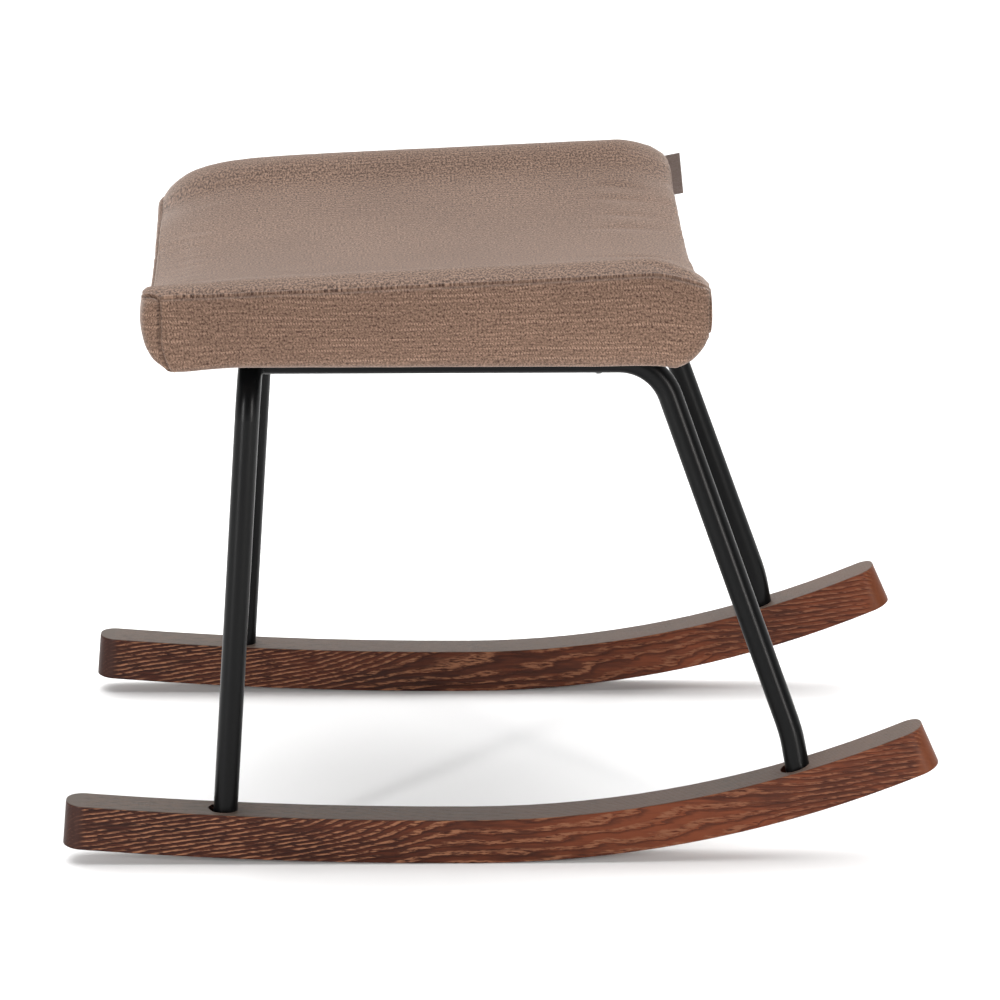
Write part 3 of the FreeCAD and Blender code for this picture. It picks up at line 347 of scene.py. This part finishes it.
# Each kind of seam: the groove's depth, how far its stitches show and the fall of the cloth beside it
SEAM_FORMS = {"top": (0.0002, 0.0, 0.0002), "end": (0.0012, 0.2, 0.0009), "corner": (0.0013, 0.3, 0.0009)}
ROLL_Y = 0.2
SIDE_Y = 0.236
SKEW = 0.021
CREST_STEP = 0.006
CREST_AT_MIDDLE = 0.448
CREST_SLOPE = 0.0445
CREST_LEFT, CREST_RIGHT = -0.24, 0.125
LOW_CORNER_X, LOW_CORNER_CAP = -0.25, 0.026
HANG_LEFT, HANG_RIGHT = -0.241, 0.125
EAR_PLACE = (0.15, 0.234, 0.444)
CLOTH_TOP_Z = 0.45
UV_TOP, UV_BACK, UV_END, UV_UNDER = (0.31, -0.6), 1.3, 0.7, 2.0


def smooth_step(low, high, value):
    share = min(max((value - low) / (high - low), 0.0), 1.0)
    return share * share * (3.0 - 2.0 * share)


def to_mesh(obj):
    """The object's mesh with all its modifiers applied."""
    depsgraph = bpy.context.evaluated_depsgraph_get()
    mesh = bpy.data.meshes.new_from_object(obj.evaluated_get(depsgraph))
    obj.modifiers.clear()
    obj.data = mesh
    return mesh


def add_object(name, mesh):
    obj = bpy.data.objects.new(name, mesh)
    scene.collection.objects.link(obj)
    return obj


def shade_smooth(mesh):
    for polygon in mesh.polygons:
        polygon.use_smooth = True


def even_form():
    """The foam with its board as one closed, evenly meshed form."""
    bm = bmesh.new()
    bm.from_mesh(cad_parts["foam_pad"].data)
    low, high = node_box("seat_board")
    low = Vector((low.x - MM, low.y - MM, FOAM_LOW.z))
    high = high + Vector((MM, MM, MM))
    matrix = Matrix.Translation((low + high) / 2) @ Matrix.Diagonal((*(high - low), 1.0))
    bmesh.ops.create_cube(bm, size=1.0, matrix=matrix)
    mesh = bpy.data.meshes.new("cushion")
    bm.to_mesh(mesh)
    bm.free()
    cushion = add_object("cushion", mesh)
    remesh = cushion.modifiers.new("even", "REMESH")
    remesh.mode = "VOXEL"
    remesh.voxel_size = VOXEL
    to_mesh(cushion)
    return cushion


class Panels:
    """Where the cover's panels meet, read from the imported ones."""

    def __init__(self):
        top, side = node_box("top_panel"), node_box("front_gusset")
        self.on_top = (top[0].x, top[1].x)
        self.on_side = (side[0].x, side[1].x)
        self.base = side[0].z
        edge = self.upper_edge()
        self.heights = [self.on_edge(edge, self.on_side[0] + step * MM) for step in range(400)]

    def upper_edge(self):
        """The front gusset's top edge, as points along X: the upper hull of all its points."""
        points = sorted({(v.co.x, v.co.z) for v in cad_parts["front_gusset"].data.vertices})
        hull = []
        for x, z in points:
            while len(hull) > 1 and ((hull[-1][0] - hull[-2][0]) * (z - hull[-2][1])
                                     >= (hull[-1][1] - hull[-2][1]) * (x - hull[-2][0])):
                hull.pop()
            hull.append((x, z))
        return [point for point in hull if point[1] > self.base + 0.03]

    @staticmethod
    def on_edge(edge, x):
        for (x0, z0), (x1, z1) in zip(edge, edge[1:]):
            if x <= x1:
                return z0 + (z1 - z0) * max(x - x0, 0.0) / max(x1 - x0, 1e-9)
        return edge[-1][1]

    def top_height(self, x):
        """The height at which gusset and top panel meet."""
        place = min(max((x - self.on_side[0]) / MM, 0.0), len(self.heights) - 1.001)
        low = int(place)
        return self.heights[low] + (self.heights[low + 1] - self.heights[low]) * (place - low)

    def end_x(self, end, y, z):
        """The seam of an end panel, 0 at the left: it turns inward to the corner and towards the base."""
        to_side = smooth_step(0.221, 0.2335, abs(y))
        x = self.on_top[end] + (self.on_side[end] - self.on_top[end]) * to_side
        inward = 1.0 if end == 0 else -1.0
        curl = max(self.base + 0.024 - z, 0.0) / 0.024
        return x + inward * 0.011 * curl ** 2 * to_side

    def is_end(self, place, normal):
        beyond = place.x < self.end_x(0, place.y, place.z) or place.x > self.end_x(1, place.y, place.z)
        return beyond or (abs(normal.x) > 0.6 and abs(place.y) < 0.22)


class Seams:
    """Dense points along every seam, laid on the cushion's surface, each with its kind and run."""

    def __init__(self, bm, panels):
        self.surface = BVHTree.FromBMesh(bm)
        self.panels = panels
        self.points = []
        for end in (0, 1):
            self.trace("end", self.over_top(end))
            for side in (-1, 1):
                self.trace("corner", self.down_corner(end, side))
        for side in (-1, 1):
            self.trace("top", self.along_gusset(side))
        self.tree = kdtree.KDTree(len(self.points))
        for index, point in enumerate(self.points):
            self.tree.insert(point[0], index)
        self.tree.balance()

    def beside(self, side, x, z):
        return self.surface.ray_cast(Vector((x, side * 1.0, z)), Vector((0, -side, 0)))[0]

    def over_top(self, end):
        places = []
        for step in range(-46, 47):
            y = step * 0.005
            places.append(self.surface.ray_cast(Vector((self.panels.end_x(end, y, 1.0), y, 1.0)),
                                                Vector((0, 0, -1)))[0])
        x = self.panels.on_side[end]
        z = self.panels.top_height(x)
        return [self.beside(-1, x, z)] + places + [self.beside(1, x, z)]

    def down_corner(self, end, side):
        high = self.panels.top_height(self.panels.on_side[end])
        heights = [high + (self.panels.base + 0.004 - high) * step / 16 for step in range(17)]
        return [self.beside(side, self.panels.end_x(end, side * 0.24, z), z) for z in heights]

    def along_gusset(self, side):
        left, right = self.panels.on_side
        places = [left + (right - left) * step / 80 for step in range(81)]
        return [self.beside(side, x, self.panels.top_height(x)) for x in places]

    def trace(self, kind, guides):
        """Fills in points every half millimetre between the guides and lays them on the surface."""
        guides = [guide for guide in guides if guide is not None]
        run = 0.0
        for start, end in zip(guides, guides[1:]):
            length = (end - start).length
            count = max(int(length / 0.0005), 1)
            for step in range(count):
                place = self.surface.find_nearest(start.lerp(end, step / count))[0]
                self.points.append((place, kind, run + length * step / count))
            run += length

    def nearest(self, place):
        index, gap = self.tree.find(place)[1:]
        return gap, self.points[index][1], self.points[index][2]


def relax(cushion, seams):
    """The cover drawn tight over the foam: a cloth simulation with pressure, held at seams and base."""
    mesh = cushion.data
    start = [vertex.co.copy() for vertex in mesh.vertices]
    held = cushion.vertex_groups.new(name="held")
    for vertex in mesh.vertices:
        gap = seams.nearest(vertex.co)[0]
        weight = max(0.0, 1.0 - gap / 0.007) * 0.85
        if vertex.co.z < seams.panels.base + 0.006:
            weight = 1.0
        if weight > 0:
            held.add([vertex.index], weight, "REPLACE")
    cloth = cushion.modifiers.new("cover", "CLOTH")
    settings = cloth.settings
    settings.quality = 5
    settings.mass = 0.3
    settings.tension_stiffness = 25
    settings.compression_stiffness = 25
    settings.shear_stiffness = 8
    settings.bending_stiffness = 1.5
    settings.vertex_group_mass = "held"
    settings.use_pressure = True
    settings.uniform_pressure_force = 4.0
    settings.effector_weights.gravity = 0.0
    for step in range(1, 21):
        scene.frame_set(step)
    mesh = to_mesh(cushion)
    scene.frame_set(1)
    for vertex, before in zip(mesh.vertices, start):
        move = vertex.co - before
        if move.length > SWELL_CAP:
            vertex.co = before + move.normalized() * SWELL_CAP
    cushion.vertex_groups.clear()


def with_modifier(cushion, kind, **settings):
    modifier = cushion.modifiers.new("step", kind)
    for name, value in settings.items():
        setattr(modifier, name, value)
    to_mesh(cushion)


def refine_near_seams(bm, seams):
    """Finer faces in a band along each seam, so that its groove has a shape."""
    for reach, cuts in ((0.0075, 1), (0.0042, 1)):
        edges = [edge for edge in bm.edges
                 if seams.nearest((edge.verts[0].co + edge.verts[1].co) / 2)[0] < reach]
        bmesh.ops.subdivide_edges(bm, edges=edges, cuts=cuts, use_grid_fill=True)


def seam_profile(kind, gap, run):
    """How far the surface lies below its smooth form beside a seam of each kind."""
    depth, dotted, beside = SEAM_FORMS[kind]
    stitch = 1.0 + dotted * math.cos(run * 2 * math.pi / STITCH_PITCH)
    pull = 1.0 + 0.5 * noise.noise(Vector((run * 40.0, gap * 30.0, 3.0)))
    groove = depth * stitch * math.exp(-(gap / 0.001) ** 2)
    shoulder = 0.0004 * math.exp(-((gap - 0.0024) / 0.0011) ** 2)
    fall = beside * pull * math.exp(-gap / 0.008)
    pucker = 0.0004 * math.exp(-gap / 0.012) * noise.noise(Vector((run * 95.0, gap * 25.0, 7.0)))
    return groove + fall - shoulder - pucker


def sink_seams(bm, seams):
    bm.normal_update()
    near_seam = bm.verts.layers.float.new("near_seam")
    moves = {}
    for v in bm.verts:
        gap, kind, run = seams.nearest(v.co)
        # near_seam: closeness to a seam, which weights the painted shade in the seam's groove in the cloth
        # colour.
        v[near_seam] = math.exp(-(gap / 0.0018) ** 2)
        if gap < 0.045 and v.co.z > seams.panels.base + 0.002:
            moves[v] = v.normal * -seam_profile(kind, gap, run)
    for v, move in moves.items():
        v.co += move


def lay_cloth(bm, panels):
    """Gives every face its place on the flat cloth of its panel, in metres."""
    layer = bm.loops.layers.uv.new("cloth")
    for face in bm.faces:
        centre = face.calc_center_median()
        on_gusset = abs(centre.y) > 0.2 and centre.z < panels.top_height(centre.x)
        face.material_index = 0 if on_gusset or abs(face.normal.x) > 0.6 else 1
        for loop in face.loops:
            co = loop.vert.co
            if face.normal.z < -0.7:
                loop[layer].uv = (co.x, co.y + UV_UNDER)
            elif panels.is_end(centre, face.normal):
                loop[layer].uv = (abs(co.x) - abs(co.y) + UV_END, co.z)
            elif on_gusset:
                loop[layer].uv = (co.x, co.z + (UV_BACK if centre.y > 0 else 0.0))
            else:
                drop = (co.z - CLOTH_TOP_Z) * smooth_step(0.17, 0.21, abs(co.y))
                loop[layer].uv = (co.x + UV_TOP[0], co.y - math.copysign(drop, co.y) + UV_TOP[1])


class Settled:
    """The form as it lies in the photograph: a little askew, its crest rising steadily to the right."""

    def __init__(self, bm, panels):
        self.base = panels.base
        self.crests = {}
        for v in bm.verts:
            key = round(v.co.x / CREST_STEP)
            self.crests[key] = max(self.crests.get(key, 0.0), v.co.z)

    def crest(self, x):
        place = x / CREST_STEP
        low = math.floor(place)
        return self.crests[low] + (self.crests[low + 1] - self.crests[low]) * (place - low)

    def top_move(self, x, y, z):
        """The crest's steady rise, the higher front and back edges, and the low left back corner."""
        inner = min(max(x, CREST_LEFT), CREST_RIGHT)
        lift = CREST_AT_MIDDLE + CREST_SLOPE * inner - self.crest(inner)
        edge = 0.0022 * smooth_step(0.217, SIDE_Y, abs(y))
        crown = 0.0055 * math.exp(-((abs(y) - ROLL_Y) / 0.024) ** 2)
        low_corner = min(0.0175 * math.exp(-(x - LOW_CORNER_X) / 0.024), LOW_CORNER_CAP)
        low_corner *= smooth_step(0.05, 0.19, y)
        right_fall = 0.009 * smooth_step(0.104, 0.153, x) * smooth_step(0.12, ROLL_Y, abs(y))
        rise = smooth_step(self.base + 0.012, self.base + 0.055, z)
        return (lift + edge + crown - low_corner - right_fall) * rise

    def base_move(self, x, y, z):
        """The lower edge: drawn up along the board, hanging a little at the corners, slightly wavy."""
        low = 1.0 - smooth_step(self.base + 0.004, self.base + 0.034, z)
        out = smooth_step(0.222, 0.234, abs(y))
        drawn = 0.003 * smooth_step(-0.21, 0.03, x) * smooth_step(0.2295, SIDE_Y, abs(y))
        inside = min(x - DUST_LOW.x, DUST_HIGH.x - x, DUST_HIGH.y - abs(y))
        turned_under = (FOAM_LOW.z - self.base) * smooth_step(0.0, -0.005, inside)
        left_reach = 0.007 if x < HANG_LEFT else 0.024
        hang = 0.0048 * math.exp(-((x - HANG_LEFT) / left_reach) ** 2)
        hang += 0.0022 * math.exp(-((x - HANG_RIGHT) / 0.009) ** 2)
        wave = 0.0009 * noise.noise(Vector((x * 26.0, y * 4.0, 1.0)))
        return (drawn - (hang - wave) * out - turned_under) * low

    def stand_out(self, x, y, z):
        """The front roll reaches further out at the left end than the dish beside it."""
        high = smooth_step(self.base + 0.045, self.base + 0.062, z)
        return 0.008 * smooth_step(-0.244, -0.257, x) * smooth_step(-0.09, -0.215, y) * high

    @staticmethod
    def ear(x, y, z):
        """The corner of a seam's folded edge, which stands out at the right end."""
        gap = (Vector((x, abs(y), z)) - Vector(EAR_PLACE)).length
        return 0.0028 * math.exp(-(gap / 0.0055) ** 2)

    def move(self, co):
        x, y, z = co
        drawn_in = 0.0035 * smooth_step(0.02, 0.14, x)
        shift = self.ear(x, y, z) - self.stand_out(x, y, z) - SKEW * y - drawn_in
        return Vector((x + shift, y, z + self.top_move(x, y, z) + self.base_move(x, y, z)))


def make_cushion(weave):
    cushion = even_form()
    panels = Panels()
    bm = bmesh.new()
    bm.from_mesh(cushion.data)
    seams = Seams(bm, panels)
    bm.free()
    relax(cushion, seams)
    with_modifier(cushion, "SMOOTH", factor=0.5, iterations=3)
    with_modifier(cushion, "SUBSURF", levels=1, render_levels=1)
    bm = bmesh.new()
    bm.from_mesh(cushion.data)
    settled = Settled(bm, panels)
    seams = Seams(bm, panels)
    refine_near_seams(bm, seams)
    sink_seams(bm, seams)
    bm.normal_update()
    lay_cloth(bm, panels)
    for v in bm.verts:
        v.co = settled.move(v.co)
    mesh = bpy.data.meshes.new("cushion")
    bm.to_mesh(mesh)
    bm.free()
    shade_smooth(mesh)
    cushion.data = mesh
    shine = {"Roughness": 0.95, "Specular IOR Level": 0.1, "Sheen Weight": 0.33, "Sheen Roughness": 0.5,
             "Sheen Tint": colour(0.92, 0.84, 0.78)}
    dark, light = colour(0.029, 0.0135, 0.0088), colour(0.262, 0.166, 0.118)
    for name, rows, fleck in (("cover_cloth_rows", 1.0, 1.0), ("cover_cloth_flecked", 0.35, 1.7)):
        material = make_cloth_material(name, weave, dark, light, rows, fleck, 0.0003, shine)
        cushion.data.materials.append(material)
    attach(cushion, "root")
    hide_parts("foam_pad", "top_panel", "front_gusset", "back_gusset", "left_end_panel",
                "right_end_panel")


# Dust cloth under the seat, its staples, the side tag and the weld beads

def tube_along(bm, places, radius, sides=8, closed=False):
    """Sweeps a round section along the places; the radius is a number or a function of the index."""
    count = len(places)
    rings = []
    for index, place in enumerate(places):
        before = places[index - 1] if closed or index > 0 else place
        after = places[(index + 1) % count] if closed or index < count - 1 else place
        along = (after - before).normalized()
        side = side - along * along.dot(side) if rings else along.orthogonal()
        side.normalize()
        up = along.cross(side)
        size = radius(index) if callable(radius) else radius
        rings.append([bm.verts.new(place + size * (math.cos(turn) * side + math.sin(turn) * up))
                      for turn in (step * 2 * math.pi / sides for step in range(sides))])
    pairs = list(zip(rings, rings[1:])) + ([(rings[-1], rings[0])] if closed else [])
    for first, second in pairs:
        for step in range(sides):
            after = (step + 1) % sides
            bm.faces.new((first[step], first[after], second[after], second[step]))
    if not closed:
        bm.faces.new(rings[0][::-1])
        bm.faces.new(rings[-1])


def finish_piece(name, bm, material):
    bmesh.ops.recalc_face_normals(bm, faces=bm.faces)
    mesh = bpy.data.meshes.new(name)
    bm.to_mesh(mesh)
    bm.free()
    shade_smooth(mesh)
    piece = add_object(name, mesh)
    piece.data.materials.append(material)
    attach(piece, "root")
    return piece


def dust_height(x, y):
    """Flat between the tubes and the board, lower where it laps over the cover's turned-under margin."""
    inside = min(x - DUST_LOW.x, DUST_HIGH.x - x, DUST_HIGH.y - abs(y))
    lapped = smooth_step(0.001, -0.004, inside) if inside < 0.001 else 0.0
    slack = 0.0004 * noise.noise(Vector((x * 22.0, y * 22.0, 2.0)))
    return DUST_LOW.z + 0.0006 - 0.0026 * lapped + slack * (1.0 - lapped)


def make_dust_cloth(material):
    end_lap, side_lap = 0.007, 0.012
    left, right, half = DUST_LOW.x - end_lap, DUST_HIGH.x + end_lap, DUST_HIGH.y + side_lap
    bm = bmesh.new()
    across, along = 72, 84
    grid = [[bm.verts.new((left + (right - left) * i / across, half * (2 * j / along - 1), 0.0))
             for j in range(along + 1)] for i in range(across + 1)]
    for row in grid:
        for v in row:
            v.co.z = dust_height(v.co.x, v.co.y)
    for first, second in zip(grid, grid[1:]):
        for j in range(along):
            bm.faces.new((first[j], second[j], second[j + 1], first[j + 1]))
    cloth = finish_piece("dust_cloth", bm, material)
    thick = cloth.modifiers.new("thick", "SOLIDIFY")
    thick.thickness = 0.0004
    thick.offset = -1.0
    to_mesh(cloth)
    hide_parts("dust_cover")
    return left, right, half


def make_staples(material, left, right, half):
    bm = bmesh.new()
    rim = 0.0035
    places = []
    for step in range(8):
        x = left + (right - left) * (step + 0.5) / 8
        places += [(x, rim - half, 0), (x, half - rim, 0)]
    for step in range(9):
        y = half * (2 * (step + 0.5) / 9 - 1)
        places += [(left + rim, y, 1), (right - rim, y, 1)]
    for x, y, turned in places:
        z = dust_height(x, y) - 0.0008
        reach = Vector((0, 0.005, 0)) if turned else Vector((0.005, 0, 0))
        centre, rise = Vector((x, y, z)), Vector((0, 0, 0.0014))
        crown = [centre - reach + rise, centre - reach, centre - 0.4 * reach - rise * 0.15,
                 centre + 0.4 * reach - rise * 0.15, centre + reach, centre + reach + rise]
        tube_along(bm, crown, 0.00045, 6)
    finish_piece("staples", bm, material)


def make_tag(weave):
    """A folded tape, sewn into the upright seam at the back right corner."""
    low, high = node_box("side_tag")
    width = high.z - low.z
    inner, outer, gap = 0.133, 0.1503, 0.0006
    steps = 18
    line = [(inner + (outer - inner) * step / steps, -gap) for step in range(steps + 1)]
    fold = [(outer + gap * math.sin(turn), -gap * math.cos(turn))
            for turn in (math.pi * step / 8 for step in range(1, 8))]
    line = line + fold + [(x, -y) for x, y in line[::-1]]
    bm = bmesh.new()
    layer = bm.loops.layers.uv.new("cloth")
    rows = []
    rise = 26
    for i in range(rise + 1):
        share = i / rise
        lean = 0.0034 * (1.0 - share)
        row = []
        for x, y in line:
            tilt = (x - inner) * 0.2
            bend = 0.0012 * math.sin(share * math.pi) * (x - inner) / (outer - inner)
            row.append(bm.verts.new((x + lean, low.y + y - bend, low.z + width * share + tilt)))
        rows.append(row)
    for i, (first, second) in enumerate(zip(rows, rows[1:])):
        for j in range(len(line) - 1):
            face = bm.faces.new((first[j], first[j + 1], second[j + 1], second[j]))
            corners = ((j, i), (j + 1, i), (j + 1, i + 1), (j, i + 1))
            for loop, (across, up) in zip(face.loops, corners):
                loop[layer].uv = (across * (outer - inner) / steps, up * width / rise)
    tape = make_cloth_material("tag_tape_woven", weave, colour(0.1, 0.075, 0.066), colour(0.24, 0.19, 0.17),
                               0.25, 0.35, 0.0001, {"Roughness": 0.8, "Specular IOR Level": 0.25})
    tag = finish_piece("tag_tape", bm, tape)
    thick = tag.modifiers.new("thick", "SOLIDIFY")
    thick.thickness = 0.0003
    thick.offset = 0.0
    to_mesh(tag)
    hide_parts("side_tag")


def weld_line(target, start, axis, radius, count=64):
    """Where the skin of a tube, going from its start along its axis, first meets the target piece."""
    surface = BVHTree.FromObject(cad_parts[target], bpy.context.evaluated_depsgraph_get())
    side = axis.orthogonal().normalized()
    up = axis.cross(side)
    places = []
    for step in range(count):
        turn = step * 2 * math.pi / count
        skin = start + radius * (math.cos(turn) * side + math.sin(turn) * up)
        place = surface.ray_cast(skin, axis)[0]
        if place is not None:
            places.append(place)
    return places


def make_welds(material):
    bm = bmesh.new()
    cross_low, cross_high = node_box("right_cross_tube")
    centre = (cross_low + cross_high) / 2
    radius = (cross_high.x - cross_low.x) / 2
    joints = [("front_side_tube", centre, Vector((0, -1, 0))), ("back_side_tube", centre, Vector((0, 1, 0)))]
    rail_y = 0.178
    for side in (-1, 1):
        joints.append(("left_leg_arch", Vector((-0.1, side * rail_y, centre.z)), Vector((-1, 0, 0))))
    for target, start, axis in joints:
        places = weld_line(target, start, axis, radius)
        bead = [0.0011 * (1.0 + 0.2 * math.sin(index * 2.1)) for index in range(len(places))]
        tube_along(bm, places, lambda index: bead[index], 8, closed=True)
    finish_piece("weld_beads", bm, material)


def make_small_pieces(weave, paint, zinc):
    fleece, g, shader = new_material("dust_cloth_fleece", {"Roughness": 0.95, "Specular IOR Level": 0.1})
    place = g.add("TexCoord").outputs["Object"]
    fibres = g.noise(g.scale(place, (900.0, 260.0, 1.0)), 1.0, 3.0, 0.7)
    dimples = g.add("TexVoronoi", {"Vector": place, "Scale": 420.0}).outputs["Distance"]
    black = g.mix(fibres, colour(0.006, 0.006, 0.006), colour(0.022, 0.022, 0.022))
    g.plug(shader.inputs["Base Color"], black)
    g.plug(shader.inputs["Normal"], g.bump(g.math("ADD", fibres, dimples), 0.0002))
    left, right, half = make_dust_cloth(fleece)
    make_staples(zinc, left, right, half)
    make_tag(weave)
    make_welds(paint)


# Studio: floor, light and camera

def make_floor():
    bm = bmesh.new()
    bmesh.ops.create_grid(bm, x_segments=1, y_segments=1, size=6.0)
    mesh = bpy.data.meshes.new("studio_floor")
    bm.to_mesh(mesh)
    bm.free()
    floor = add_object("studio_floor", mesh)
    material = new_material("studio_floor_white", {
        "Base Color": colour(0.9, 0.9, 0.9), "Roughness": 0.9, "Specular IOR Level": 0.1})[0]
    floor.data.materials.append(material)
    floor.location.z = -0.0002


def make_world():
    """A white backdrop behind the stool and a dim room in front of it."""
    world = bpy.data.worlds.new("studio_white")
    scene.world = world
    world.use_nodes = True
    g = Graph(world.node_tree)
    forward = g.split(g.add("TexCoord").outputs["Generated"])[1]
    background = world.node_tree.nodes["Background"]
    background.inputs["Color"].default_value = colour(1.0, 1.0, 1.0)
    g.plug(background.inputs["Strength"], g.ramp(forward, -0.3, 0.2, 0.1, 1.06))


def make_light(name, place, aim, size, power, tint=(1.0, 1.0, 1.0)):
    """A rectangular softbox that faces the point it aims at."""
    data = bpy.data.lights.new(name, "AREA")
    data.shape = "RECTANGLE"
    data.size, data.size_y = size
    data.energy = power
    data.color = tint
    light = bpy.data.objects.new(name, data)
    light.location = place
    light.rotation_euler = (Vector(aim) - Vector(place)).to_track_quat("-Z", "Y").to_euler()
    scene.collection.objects.link(light)


def make_lights():
    ceiling = bpy.data.lights.new("ceiling_wash", "SUN")
    ceiling.energy = 2.9
    ceiling.angle = math.radians(75.0)
    wash = bpy.data.objects.new("ceiling_wash", ceiling)
    wash.rotation_euler = (math.radians(-8.0), 0.0, 0.0)
    scene.collection.objects.link(wash)
    make_light("overhead_softbox", (0.0, 0.5, 2.2), (0.0, 0.0, 0.3), (2.0, 1.4), 16.0)
    make_light("left_strip", (-1.3, -1.6, 0.5), (-0.1, -0.1, 0.2), (0.13, 0.95), 24.0)
    make_light("right_strip", (1.25, -1.7, 0.5), (0.1, -0.1, 0.2), (0.13, 0.95), 24.0, (1.0, 0.97, 0.94))


def make_camera():
    """The photograph's viewpoint: a long lens, 16 degrees above the level."""
    data = bpy.data.cameras.new("photo_camera")
    data.lens = 176.04
    data.sensor_width = 36.0
    data.clip_end = 50.0
    camera = bpy.data.objects.new("photo_camera", data)
    camera.location = (-0.053, -3.632, 1.259)
    camera.rotation_euler = (math.radians(74.0), 0.0, math.radians(-0.88))
    scene.collection.objects.link(camera)
    scene.camera = camera


def main():
    scene.view_settings.view_transform = "Standard"
    paint, zinc = dress_frame()
    weave = make_weave_group()
    make_cushion(weave)
    make_small_pieces(weave, paint, zinc)
    make_world()
    make_floor()
    make_lights()
    make_camera()


main()
